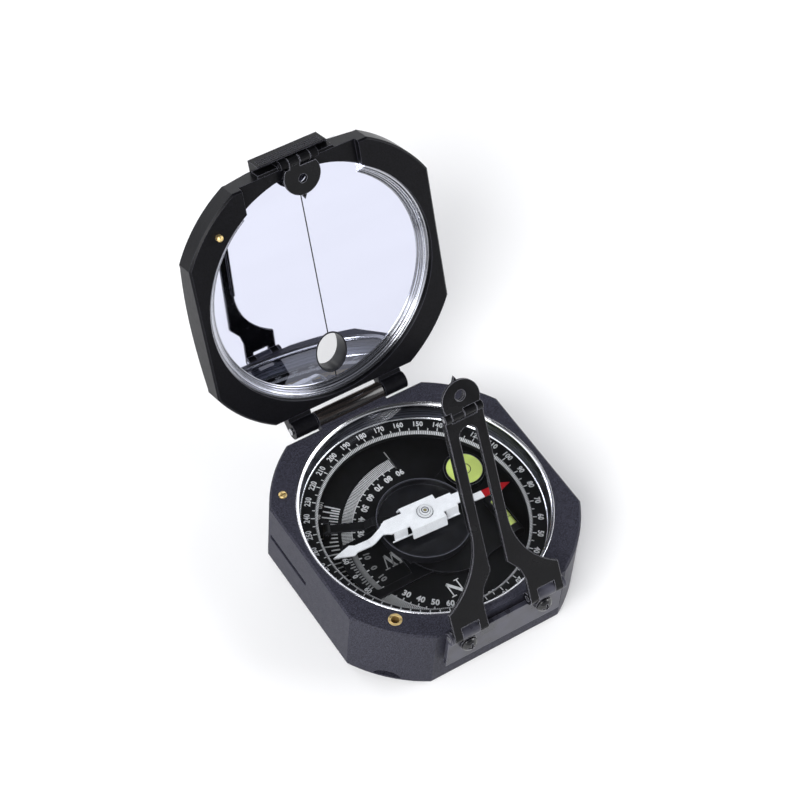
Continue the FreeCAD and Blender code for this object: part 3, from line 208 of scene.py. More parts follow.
def finished(pieces, name, finish, body="base"):
    """Joins the pieces into one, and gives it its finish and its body."""
    piece = joined(pieces, name)
    piece.data.materials.clear()
    piece.data.materials.append(FINISHES[finish])
    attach(piece, body)
    return piece


# Shapes of print and trim

def mark(length, width, thick):
    """A printed line along +X from the origin, thin, with its top edges softened."""
    piece = new_plane()
    soft = min(thick * 0.5, width * 0.2)
    with editing():
        bpy.ops.transform.resize(value=(length * MM, width * MM, 1))
        bpy.ops.transform.translate(value=(length * MM / 2, 0, 0))
        bpy.ops.mesh.extrude_region_move(TRANSFORM_OT_translate={"value": (0, 0, thick * MM)})
        bpy.ops.mesh.inset(thickness=soft * MM, depth=0)
        face_outwards()
    return piece


def ruled(length, width, thick, radius, angles, top, x=0.0, y=0.0):
    """Equal radial lines that start at the radius, one at each angle."""
    return dealt(mark(length, width, thick), [at(*polar(radius, a, x, y), top, a) for a in angles])


def arc_band(inner, outer, low, high, start=0.0, sweep=360.0, steps=120, tilt=0.0):
    """A thin band about the Z axis, spun from its oblong section, which may be tilted."""
    piece = new_plane()
    with editing():
        bpy.ops.transform.resize(value=((outer - inner) * MM, (high - low) * MM, 1))
        if sweep >= 360:
            bpy.ops.mesh.delete(type="ONLY_FACE")
    centre = at((outer + inner) / 2, 0, (high + low) / 2)
    place(piece, rotation(start, "Z") @ centre @ rotation(-tilt, "Y") @ rotation(90, "X"))
    return spin(piece, sweep, steps)


def turned(section, start=0.0, sweep=360.0, steps=180):
    """A ring turned about the Z axis from its section's corners, each a radius and a height."""
    piece = new_plane()
    with editing():
        bpy.ops.mesh.merge(type="CENTER")
        bpy.ops.transform.translate(value=(section[0][0] * MM, 0, section[0][1] * MM))
        for (r1, z1), (r2, z2) in zip(section, section[1:] + section[:1]):
            step = ((r2 - r1) * MM, 0, (z2 - z1) * MM)
            bpy.ops.mesh.extrude_region_move(TRANSFORM_OT_translate={"value": step})
        weld()
        if sweep < 360:
            bpy.ops.mesh.edge_face_add()
    place(piece, rotation(start, "Z"))
    spin(piece, sweep, steps)
    bpy.ops.object.shade_smooth_by_angle(angle=math.radians(40))
    return piece


def inside_of(outer, foot, corners):
    """A section whose corners lie so far inside the outer radius and above the foot."""
    return [(outer - inset, foot + rise) for inset, rise in corners]


def lettering(text, height, thick, weight=0.02, stretch=1.0):
    """Thin raised lettering, centred on the origin, with its top towards +Y."""
    deselect()
    bpy.ops.object.text_add(location=(0, 0, 0))
    words = bpy.context.object.data
    half_depth = 0.01
    words.body = text
    words.size = 1.0
    words.offset = weight
    words.extrude = half_depth
    words.resolution_u = 3
    words.space_character = 1.06
    bpy.ops.object.convert(target="MESH")
    piece = bpy.context.object
    xs = [v.co.x for v in piece.data.vertices]
    ys = [v.co.y for v in piece.data.vertices]
    scale = height * MM / (max(ys) - min(ys))
    centre = Vector(((max(xs) + min(xs)) / 2, (max(ys) + min(ys)) / 2, -half_depth))
    flat = Matrix.Diagonal((scale * stretch, scale, thick * MM / (2 * half_depth), 1))
    place(piece, flat @ Matrix.Translation(-centre))
    with editing():
        weld()
    return piece


def numbered(labels, size, radius, top, x=0.0, y=0.0, turn=90.0):
    """A piece of lettering for each angle and its text, round a centre."""
    pieces = []
    for angle, text in labels:
        piece = lettering(text, *size)
        place(piece, at(*polar(radius, angle, x, y), top, angle + turn))
        pieces.append(piece)
    return pieces


# Parts of a material

def add_node(tree, kind, settings=(), links=()):
    """Adds one node, sets its values, and links its inputs from other nodes' outputs."""
    made = tree.nodes.new(kind)
    for name, value in dict(settings).items():
        if isinstance(name, int) or name in made.inputs:
            made.inputs[name].default_value = value
        else:
            setattr(made, name, value)
    for name, source in dict(links).items():
        tree.links.new(source, made.inputs[name])
    return made


def base_material(name, colour, roughness, metallic=0.0, coat=0.0, specular=0.5):
    """A material with its even values set, its node tree and its shader."""
    material = bpy.data.materials.new(name)
    material.use_nodes = True
    material.diffuse_color = linear(colour)
    shader = material.node_tree.nodes["Principled BSDF"]
    even = {"Base Color": linear(colour), "Roughness": roughness, "Metallic": metallic,
            "Specular IOR Level": specular, "Coat Weight": coat, "Coat Roughness": 0.08}
    for socket, value in even.items():
        shader.inputs[socket].default_value = value
    return material, material.node_tree, shader


def grain(tree, size, detail=2.0, stretch=(1, 1, 1)):
    """Noise in object coordinates, its features about size millimetres across."""
    where = add_node(tree, "ShaderNodeTexCoord")
    mapping = add_node(tree, "ShaderNodeMapping", {"Scale": stretch},
                       {"Vector": where.outputs["Object"]})
    return add_node(tree, "ShaderNodeTexNoise", {"Scale": 1.0 / (size * MM), "Detail": detail},
                    {"Vector": mapping.outputs["Vector"]})


def lathe_lines(tree, pitch, opening):
    """Noise that changes only with the distance from the Z axis and along it."""
    back = opening.inverted()
    where = add_node(tree, "ShaderNodeTexCoord")
    level = add_node(tree, "ShaderNodeMapping",
                     {"Location": back.to_translation(), "Rotation": back.to_euler()},
                     {"Vector": where.outputs["Object"]})
    flat = add_node(tree, "ShaderNodeVectorMath", {"operation": "MULTIPLY", 1: (1, 1, 0)},
                    {0: level.outputs["Vector"]})
    radius = add_node(tree, "ShaderNodeVectorMath", {"operation": "LENGTH"},
                      {0: flat.outputs["Vector"]})
    parts = add_node(tree, "ShaderNodeSeparateXYZ", {}, {0: level.outputs["Vector"]})
    section = add_node(tree, "ShaderNodeCombineXYZ", {},
                       {0: radius.outputs["Value"], 1: parts.outputs["Z"]})
    return add_node(tree, "ShaderNodeTexNoise",
                    {"noise_dimensions": "2D", "Scale": 1.0 / (pitch * MM), "Detail": 2.0},
                    {"Vector": section.outputs["Vector"]})


def roughen(tree, shader, noise, low, high):
    """Roughness that follows the noise from a low value to a high one."""
    spread = add_node(tree, "ShaderNodeMapRange",
                      {"From Min": 0.35, "From Max": 0.65, "To Min": low, "To Max": high},
                      {"Value": noise.outputs["Fac"]})
    tree.links.new(spread.outputs["Result"], shader.inputs["Roughness"])


def tint(tree, shader, noise, dark, light):
    """Base colour that follows the noise from a dark colour to a light one."""
    ramp = add_node(tree, "ShaderNodeValToRGB", {}, {"Fac": noise.outputs["Fac"]})
    for stop, position, colour in zip(ramp.color_ramp.elements, (0.38, 0.62), (dark, light)):
        stop.position = position
        stop.color = linear(colour)
    tree.links.new(ramp.outputs["Color"], shader.inputs["Base Color"])


def rub(tree, shader, lighter_tone, width):
    """Base colour that turns lighter where an outer edge lies within the width: partly wear,
    partly a painted highlight of the lit edge.
    """
    rounded = add_node(tree, "ShaderNodeBevel", {"Radius": width * MM, "samples": 4})
    facing = add_node(tree, "ShaderNodeNewGeometry")
    bent = add_node(tree, "ShaderNodeVectorMath", {"operation": "DOT_PRODUCT"},
                    {0: rounded.outputs["Normal"], 1: facing.outputs["Normal"]})
    share = add_node(tree, "ShaderNodeMapRange",
                     {"From Min": 0.97, "From Max": 0.75, "To Min": 0.0, "To Max": 1.0},
                     {"Value": bent.outputs["Value"]})
    plain_colour = shader.inputs["Base Color"].links[0].from_socket
    mix = add_node(tree, "ShaderNodeMix", {"data_type": "RGBA", 7: linear(lighter_tone)},
                   {0: share.outputs["Result"], 6: plain_colour})
    tree.links.new(mix.outputs[2], shader.inputs["Base Color"])


def relief(tree, shader, noise, depth, edge):
    """A bump of so many millimetres, over edges that look rounded by a few tenths."""
    rounded = add_node(tree, "ShaderNodeBevel", {"Radius": edge * MM, "samples": 4})
    bump = add_node(tree, "ShaderNodeBump", {"Distance": depth * MM, "Strength": 1.0},
                    {"Height": noise.outputs["Fac"], "Normal": rounded.outputs["Normal"]})
    tree.links.new(bump.outputs["Normal"], shader.inputs["Normal"])


# Materials, each as a kind that several finishes share

def sprayed_enamel(name, colour, roughness, grit, depth, speckle):
    """Black enamel sprayed on a cast case: matt, with a fine grit that glints."""
    # The real grit is under 0.1 mm. It is drawn as coarse as it has to be to show.
    material, tree, shader = base_material(name, colour, roughness, specular=0.1)
    fine = grain(tree, grit)
    tint(tree, shader, fine, shade(colour, 1 - speckle), shade(colour, 1 + speckle))
    # Lighter edges: partly wear, partly a painted highlight
    rub(tree, shader, "50505a", 0.25)
    roughen(tree, shader, grain(tree, 1.5), roughness - 0.02, roughness + 0.03)
    relief(tree, shader, fine, depth, 0.22)
    return material


def handled_enamel(name, colour, lighter_tone, roughness, specular):
    """Enamel that the hand has polished: smooth and deep black, with warm streaks along X."""
    material, tree, shader = base_material(name, colour, roughness, specular=specular)
    streaks = grain(tree, 0.5, 3.0, (0.04, 1, 1))
    tint(tree, shader, streaks, colour, lighter_tone)
    roughen(tree, shader, streaks, roughness - 0.04, roughness + 0.08)
    relief(tree, shader, streaks, 0.001, 0.05)
    return material


def baked_enamel(name, colour, roughness, edge, lighter_tone, specular):
    """Thin black enamel baked on sheet: smooth and glossy, its edges lighter from wear and a
    painted highlight.
    """
    material, tree, shader = base_material(name, colour, roughness, specular=specular)
    broad = grain(tree, 5.0, 3.0)
    tint(tree, shader, broad, shade(colour, 0.8), shade(colour, 1.2))
    rub(tree, shader, lighter_tone, edge)
    roughen(tree, shader, broad, roughness - 0.04, roughness + 0.06)
    relief(tree, shader, grain(tree, 0.25), 0.0006, edge)
    return material


def matt_black(name, colour, roughness, specular):
    """Dead black under the glass: it hides its own shape, but for a painted highlight on its thin
    edges.
    """
    material, tree, shader = base_material(name, colour, roughness, specular=specular)
    broad = grain(tree, 3.0, 3.0)
    tint(tree, shader, broad, shade(colour, 0.8), shade(colour, 1.2))
    rub(tree, shader, "686872", 0.15)
    relief(tree, shader, broad, 0.003, 0.05)
    return material


def turned_metal(name, colour, roughness, lines=0.2, groove=0.9, opening=Matrix(), edge=0.06):
    """Metal turned in a lathe: fine rings, darker by a share, that streak its reflections."""
    # Real tool marks are about 0.05 mm apart. They are drawn wider, so that they show.
    material, tree, shader = base_material(name, colour, roughness, metallic=1.0)
    rings = lathe_lines(tree, lines, opening)
    tint(tree, shader, rings, shade(colour, groove), colour)
    roughen(tree, shader, rings, roughness * 0.7, roughness * 1.3)
    relief(tree, shader, rings, 0.0006, edge)
    return material


def mirror_silver(name, colour):
    """Silvered glass: a clean mirror with the faintest haze."""
    material, tree, shader = base_material(name, colour, 0.02, metallic=1.0)
    roughen(tree, shader, grain(tree, 12.0), 0.005, 0.03)
    return material


def print_paint(name, colour, roughness=0.5):
    """Printed or filled paint: nearly flat, a little uneven in its tone."""
    material, tree, shader = base_material(name, colour, roughness)
    tint(tree, shader, grain(tree, 0.8, 3.0), shade(colour, 0.92), colour)
    return material


def gloss_paint(name, colour, roughness, edge):
    """Thick glossy paint or polished stone: clear lights, and soft edges."""
    material, tree, shader = base_material(name, colour, roughness, coat=0.3)
    tint(tree, shader, grain(tree, 2.0, 3.0), shade(colour, 0.97), colour)
    relief(tree, shader, grain(tree, 0.3), 0.001, edge)
    return material


def level_spirit(name, colour):
    """Tinted spirit behind clear glass: its colour is clear and even, under a sharp gloss."""
    material, tree, shader = base_material(name, colour, 0.1, coat=1.0)
    tint(tree, shader, grain(tree, 5.0, 1.0), shade(colour, 0.96), shade(colour, 1.04))
    return material


def clear_glass(name, colour):
    """A thin pane: light goes straight through it, and its outer face reflects as glass does."""
    material = bpy.data.materials.new(name)
    material.use_nodes = True
    tree = material.node_tree
    tree.nodes.clear()
    through = add_node(tree, "ShaderNodeBsdfTransparent", {"Color": linear(colour)})
    gloss = add_node(tree, "ShaderNodeBsdfAnisotropic", {"Color": (1, 1, 1, 1)})
    roughen(tree, gloss, grain(tree, 9.0), 0.0, 0.02)
    facing = add_node(tree, "ShaderNodeFresnel", {"IOR": 1.5})
    side = add_node(tree, "ShaderNodeNewGeometry")
    outer = add_node(tree, "ShaderNodeMath", {"operation": "SUBTRACT", 0: 1.0},
                     {1: side.outputs["Backfacing"]})
    share = add_node(tree, "ShaderNodeMath", {"operation": "MULTIPLY"},
                     {0: facing.outputs["Fac"], 1: outer.outputs["Value"]})
    mixed = add_node(tree, "ShaderNodeMixShader", {},
                     {0: share.outputs["Value"], 1: through.outputs["BSDF"],
                      2: gloss.outputs["BSDF"]})
    end = add_node(tree, "ShaderNodeOutputMaterial")
    tree.links.new(mixed.outputs["Shader"], end.inputs["Surface"])
    return material


def make_finishes(colours):
    """Every finish of the compass, by a short name."""
    figures = colours.figures
    FINISHES.update({
        # Cast aluminium under sprayed enamel: dark and matt, with a grit that glints
        "case": sprayed_enamel("case enamel", colours.case, 0.42, 0.24, 0.007, 0.3),
        "lid": sprayed_enamel("lid enamel", shade(colours.case, 0.28), 0.3, 0.32, 0.004, 0.4),
        # The hinge's barrel, polished by use: a soft line of light along it
        "barrel": handled_enamel("barrel enamel", colours.trim, "2b2522", 0.18, 0.6),
        # Steel sheet with baked enamel: glossy black, its cut edges grey from wear and a painted
        # highlight
        "arm": baked_enamel("sheet enamel", colours.trim, 0.22, 0.32, "94949e", 0.15),
        "bracket": baked_enamel("bracket enamel", shade(colours.case, 1.1), 0.3, 0.35,
                                "70707a", 0.5),
        "sight": baked_enamel("sight enamel", colours.trim, 0.3, 0.25, "70707a", 0.06),
        # Oiled black steel of screws and washers: small sharp highlights
        "gloss black": baked_enamel("blackened steel", "09090b", 0.12, 0.3, "85858f", 0.7),
        # Ground and painted edge of the mirror's glass: a dark rim round the window
        "glass edge": baked_enamel("grey edge of the mirror", "1b1c20", 0.3, 0.1, "5c5c66", 0.25),
        # Painted plates under the glass: dead black, so that the print stands out
        "dial": matt_black("dial black", colours.dial, 0.5, 0.3),
        "vernier": matt_black("vernier black", shade(colours.dial, 1.1), 0.34, 0.35),
        # Blackened copper: a soft sheen that shows the cup's round hollow
        "cup": matt_black("copper cup, blackened", "131318", 0.3, 0.6),
        # Chrome plate on turned brass: white arcs, broken by the tool's rings
        "chrome": turned_metal("polished chrome", "eeeff4", 0.18),
        "lid chrome": turned_metal("polished chrome of the lid", "d2d4dc", 0.18, 0.34, 0.6,
                                   lid_opening()),
        "satin chrome": turned_metal("satin chrome", "70727e", 0.34, 0.3, 0.5),
        # Bare brass and steel as they leave the lathe: warm or grey, softly bright
        "brass": turned_metal("turned brass", "fbe0a0", 0.5, edge=0.35),
        "steel": turned_metal("turned steel", "c4c5c9", 0.3),
        # Frosted silver plate: nearly white and dull, as the needle round it
        "silver": turned_metal("frosted silver", "fbfbfd", 0.85, edge=0.3),
        # A polished stone: a small dark point with a sharp light
        "agate": gloss_paint("polished agate", "8c8462", 0.1, 0.2),
        # Gloss paint sprayed on the brass needle: bright, with soft edges
        "white": gloss_paint("white enamel", colours.needle, 0.3, 0.12),
        "red": gloss_paint("red enamel", colours.north, 0.3, 0.12),
        # Float glass, clear or silvered: only what it reflects shows
        "glass": clear_glass("window glass", "fdfefe"),
        "mirror": mirror_silver("silvered mirror", "d1d3e1"),
        # Dyed spirit in a vial: a clear yellow green, its bubble a shade lighter
        "spirit": level_spirit("level spirit", colours.spirit),
        "bubble": level_spirit("level bubble", shade(colours.spirit, 1.12)),
        # Printing ink and filled paint: flat tones. Faint print and groove paint are painted
        # shade; dull and edge paint are painted highlights
        "print": print_paint("ivory print", figures),
        "band": print_paint("grey print", shade(figures, 0.68)),
        "faint": print_paint("print dimmed as painted shade", shade(figures, 0.6)),
        "dull": print_paint("grey print as painted bevel highlight", shade(figures, 0.44)),
        "line": print_paint("black line", "101214", 0.4),
        "edge": print_paint("grey paint as painted rim highlight", "5e5e68", 0.3),
        "groove": print_paint("painted shade at the cap's steps", "4a4a54", 0.4),
    })


# The solids by their finish
NODE_FINISH = {
    "case": ["base_case", "bottom_cover"],
    "lid": ["lid_case"],
    "arm": ["sight_arm", "arm_peep_leaf", "arm_point_leaf", "lid_peep_leaf",
            "lid_point_leaf", "clinometer_lever"],
    "sight": ["sight_bracket"],
    "bracket": ["arm_bracket"],
    "dial": ["dial_plate", "azimuth_ring", "clinometer_arm", "dial_screws", "lifter_bracket",
             "lifter", "tube_level_holder"],
    "gloss black": ["bracket_screws", "bracket_washers", "sight_screws", "lifter_pin",
                    "round_level_housing"],
    "chrome": ["glass_bezel"],
    "lid chrome": ["mirror_ring"],
    "satin chrome": ["glass_liner"],
    "silver": ["needle_cap"],
    "brass": ["latch_bush", "latch_pin", "lift_pin", "lift_shelf_bush", "ring_seat", "ring_gear",
              "clinometer_bush", "clinometer_shaft", "friction_washer", "adjusting_knob"],
    "agate": ["needle_jewel"],
    "steel": ["cover_screws", "arm_pins", "hinge_pin", "tip_pin", "sight_pin", "hub_screw",
              "lever_screw", "pivot_post", "needle_magnets", "lift_spring", "vernier_rivets",
              "adjusting_pinion"],
    "glass": ["window_glass"],
    "vernier": ["vernier_plate"],
    "mirror": ["mirror"],
    "white": ["needle_frame"],
    "red": ["needle_red_tip"],
    "spirit": ["round_level_vial", "tube_level_vial"],
    "cup": ["damping_cup"],
}


# What a user may change

def colour_of(name, what, default):
    """A screen colour in hex."""
    return StringProperty(name=name, description="Hex colour of " + what, default=default)


def length_of(name, what, default, low, high):
    """A length in millimetres."""
    return FloatProperty(name=name, description=what + ", mm", default=default, min=low, max=high)


def power_of(name, what, default):
    """A lamp's power in watts."""
    return FloatProperty(name=name, description="Power of " + what, default=default, min=0.0,
                         unit="POWER")


class CompassFinish(bpy.types.PropertyGroup):
    """Colours of the compass, as screen colours."""

    case: colour_of("Case enamel", "the case", "2f2f38")
    trim: colour_of("Sheet enamel", "the arm and the leaves", "0d0d0f")
    dial: colour_of("Dial black", "the dial", "0b0b0e")
    figures: colour_of("Print", "the figures", "e6e6ea")
    needle: colour_of("Needle white", "the needle", "fafaff")
    north: colour_of("North tip", "the tip", "b3101c")
    spirit: colour_of("Level spirit", "the spirit", "dcee84")


class CompassPrint(bpy.types.PropertyGroup):
    """Sizes of the printed scales, in millimetres."""

    thick: length_of("Print thickness", "How far print stands up", 0.02, 0.005, 0.2)
    azimuth_height: length_of("Azimuth figures", "Their height", 1.7, 0.5, 3.0)
    azimuth_radius: length_of("Azimuth radius", "To the figures' middles", 31.55, 29.0, 33.5)
    dip_height: length_of("Dip figures", "Their height", 1.9, 0.5, 3.0)
    dip_radius: length_of("Dip radius", "To the figures' middles", 22.9, 20.0, 24.0)
    band_inner: length_of("Dip band, inner", "Its inner radius", 25.2, 22.0, 28.0)
    band_outer: length_of("Dip band, outer", "Its outer radius", 28.2, 26.0, 30.0)
    letter_height: length_of("Letters", "Height of the point letters", 4.2, 2.0, 6.0)


class CompassStage(bpy.types.PropertyGroup):
    """Light on the compass."""

    key_power: power_of("Key light", "the left lamp", 20.0)
    fill_power: power_of("Fill light", "the right lamp", 10.0)
    back_power: power_of("Back light", "the far lamp", 2.5)
    overhead: FloatProperty(name="Sky overhead", description="Brightness straight up",
                            default=0.06, min=0.0)
    horizon: FloatProperty(name="Sky at the horizon", description="Brightness low down",
                           default=2.0, min=0.0)
    camera_side: FloatProperty(name="Sky on the camera's side",
                               description="Its brightness as a share of the rest",
                               default=0.3, min=0.0, max=1.0, subtype="FACTOR")


class COMPASS_OT_stage(bpy.types.Operator):
    """Makes the pale floor, the soft light and the camera"""

    bl_idname = "compass.stage"
    bl_label = "Stage"

    def execute(self, context):
        sizes = context.scene.compass_stage
        self.floor()
        self.lamps(context, sizes)
        self.sky(context, sizes)
        self.camera(context)
        context.scene.view_settings.view_transform = "Standard"
        return {"FINISHED"}

    def floor(self):
        """A pale floor, six metres across."""
        floor = new_plane(6.0)
        floor.name = "floor"
        material, tree, shader = base_material("white floor", "fbfbfb", 0.9)
        tint(tree, shader, grain(tree, 60.0, 1.0), "fafafa", "fcfcfc")
        floor.data.materials.append(material)

    def lamps(self, context, sizes):
        """Three square lamps, in metres, that all face the compass."""
        lamps = (
            ("key", (-1.0, -0.6, 1.1), 0.8, sizes.key_power),
            ("fill", (1.2, -0.6, 0.9), 0.8, sizes.fill_power),
            ("back", (-0.3, 1.3, 0.9), 0.6, sizes.back_power),
        )
        for name, spot, side, power in lamps:
            lamp = bpy.data.lights.new(name, "AREA")
            lamp.shape = "RECTANGLE"
            lamp.size = side
            lamp.size_y = side
            lamp.energy = power
            holder = bpy.data.objects.new(name, lamp)
            holder.location = spot
            holder.rotation_euler = (-Vector(spot)).to_track_quat("-Z", "Y").to_euler()
            context.collection.objects.link(holder)

    def sky(self, context, sizes):
        """Light from all round that dims towards the top, so the glass stays clear."""
        world = bpy.data.worlds.new("soft sky")
        world.use_nodes = True
        tree = world.node_tree
        # A direction's Z from which the sky dims and where it is dimmest, and its Y where the
        # camera's side ends and where the full sky begins
        dims_from, dimmest, near_side, far_side = 0.42, 0.72, -0.75, -0.3
        direction = add_node(tree, "ShaderNodeTexCoord")
        split = add_node(tree, "ShaderNodeSeparateXYZ", {},
                         {"Vector": direction.outputs["Generated"]})
        height = add_node(tree, "ShaderNodeMapRange",
                          {"From Min": dims_from, "From Max": dimmest, "To Min": sizes.horizon,
                           "To Max": sizes.overhead}, {"Value": split.outputs["Z"]})
        side = add_node(tree, "ShaderNodeMapRange",
                        {"From Min": near_side, "From Max": far_side,
                         "To Min": sizes.camera_side, "To Max": 1.0},
                        {"Value": split.outputs["Y"]})
        strength = add_node(tree, "ShaderNodeMath", {"operation": "MULTIPLY"},
                            {0: height.outputs["Result"], 1: side.outputs["Result"]})
        background = tree.nodes["Background"]
        background.inputs["Color"].default_value = (0.95, 0.96, 1.0, 1.0)
        tree.links.new(strength.outputs["Value"], background.inputs["Strength"])
        context.scene.world = world

    def camera(self, context):
        """The photograph's camera, in metres, fitted to corners of case, lid and arm."""
        lens = bpy.data.cameras.new("camera")
        lens.sensor_width = 36.0
        lens.lens = 112.894
        lens.shift_x = -0.00673
        lens.shift_y = -0.01511
        lens.clip_start = 0.01
        camera = bpy.data.objects.new("camera", lens)
        camera.location = (-0.239648, -0.304303, 0.567959)
        camera.rotation_euler = [math.radians(a) for a in (37.85699, -3.22838, -32.86343)]
        context.collection.objects.link(camera)
        context.scene.camera = camera


class COMPASS_OT_finish_nodes(bpy.types.Operator):
    """Gives each solid of the compass its finish"""

    bl_idname = "compass.finish_nodes"
    bl_label = "Finishes"

    def execute(self, context):
        make_finishes(context.scene.compass_finish)
        dressed = set()
        for finish, names in NODE_FINISH.items():
            for name in names:
                solid = frame["nodes"][name]
                if not solid.material_slots:
                    raise RuntimeError(name + " has no material slot")
                for slot in solid.material_slots:
                    slot.material = FINISHES[finish]
                dressed.add(name)
        bare = set(frame["nodes"]) - dressed
        if bare:
            raise RuntimeError("no finish for " + ", ".join(sorted(bare)))
        return {"FINISHED"}


class COMPASS_OT_azimuth_print(bpy.types.Operator):
    """Prints the figures and the ticks of the azimuth ring"""

    bl_idname = "compass.azimuth_print"
    bl_label = "Azimuth print"

    def execute(self, context):
        sizes = context.scene.compass_print
        thick = sizes.thick
        top = top_of("azimuth_ring")
        labels = [(degrees - 90.0, str(degrees)) for degrees in range(0, 360, 10)]
        size = (sizes.azimuth_height, thick, 0.03, 0.86)
        figures = numbered(labels, size, sizes.azimuth_radius, top, turn=-90.0)
        finished(figures, "azimuth_figures", "print", "azimuth")
        self.scale(thick, top)
        return {"FINISHED"}

    def scale(self, thick, top):
        """Long ticks on the flat, and one for each degree on the ring's inner bevel."""
        bevel_inner, bevel = 28.5, 0.7
        tick_from = bevel_inner + bevel + 0.1
        # Each tick's length and width
        ten, five, one = (1.15, 0.26), (0.8, 0.24), (0.94, 0.2)
        slope = rotation(-45, "Y")
        fine = [at(*polar(bevel_inner, a), top - bevel, a) @ slope @ at(0.02, 0, 0.03)
                for a in range(360)]
        ticks = [ruled(*ten, thick, tick_from, range(0, 360, 10), top),
                 ruled(*five, thick, tick_from, range(5, 360, 10), top),
                 dealt(mark(*one, thick), fine)]
        finished(ticks, "azimuth_ticks", "print", "azimuth")
        # A grey band on the bevel and a lip at its outer edge: a painted highlight of the lit
        # bevel
        half, half_band, lip_width = bevel / 2, 0.48, 0.16
        band = arc_band(bevel_inner + half - half_band, bevel_inner + half + half_band,
                        top - half + 0.01, top - half + 0.025, steps=180, tilt=45.0)
        lip = arc_band(bevel_inner + bevel, bevel_inner + bevel + lip_width, top, top + thick,
                       steps=180)
        finished([band, lip], "azimuth_bevel_highlight", "dull", "azimuth")


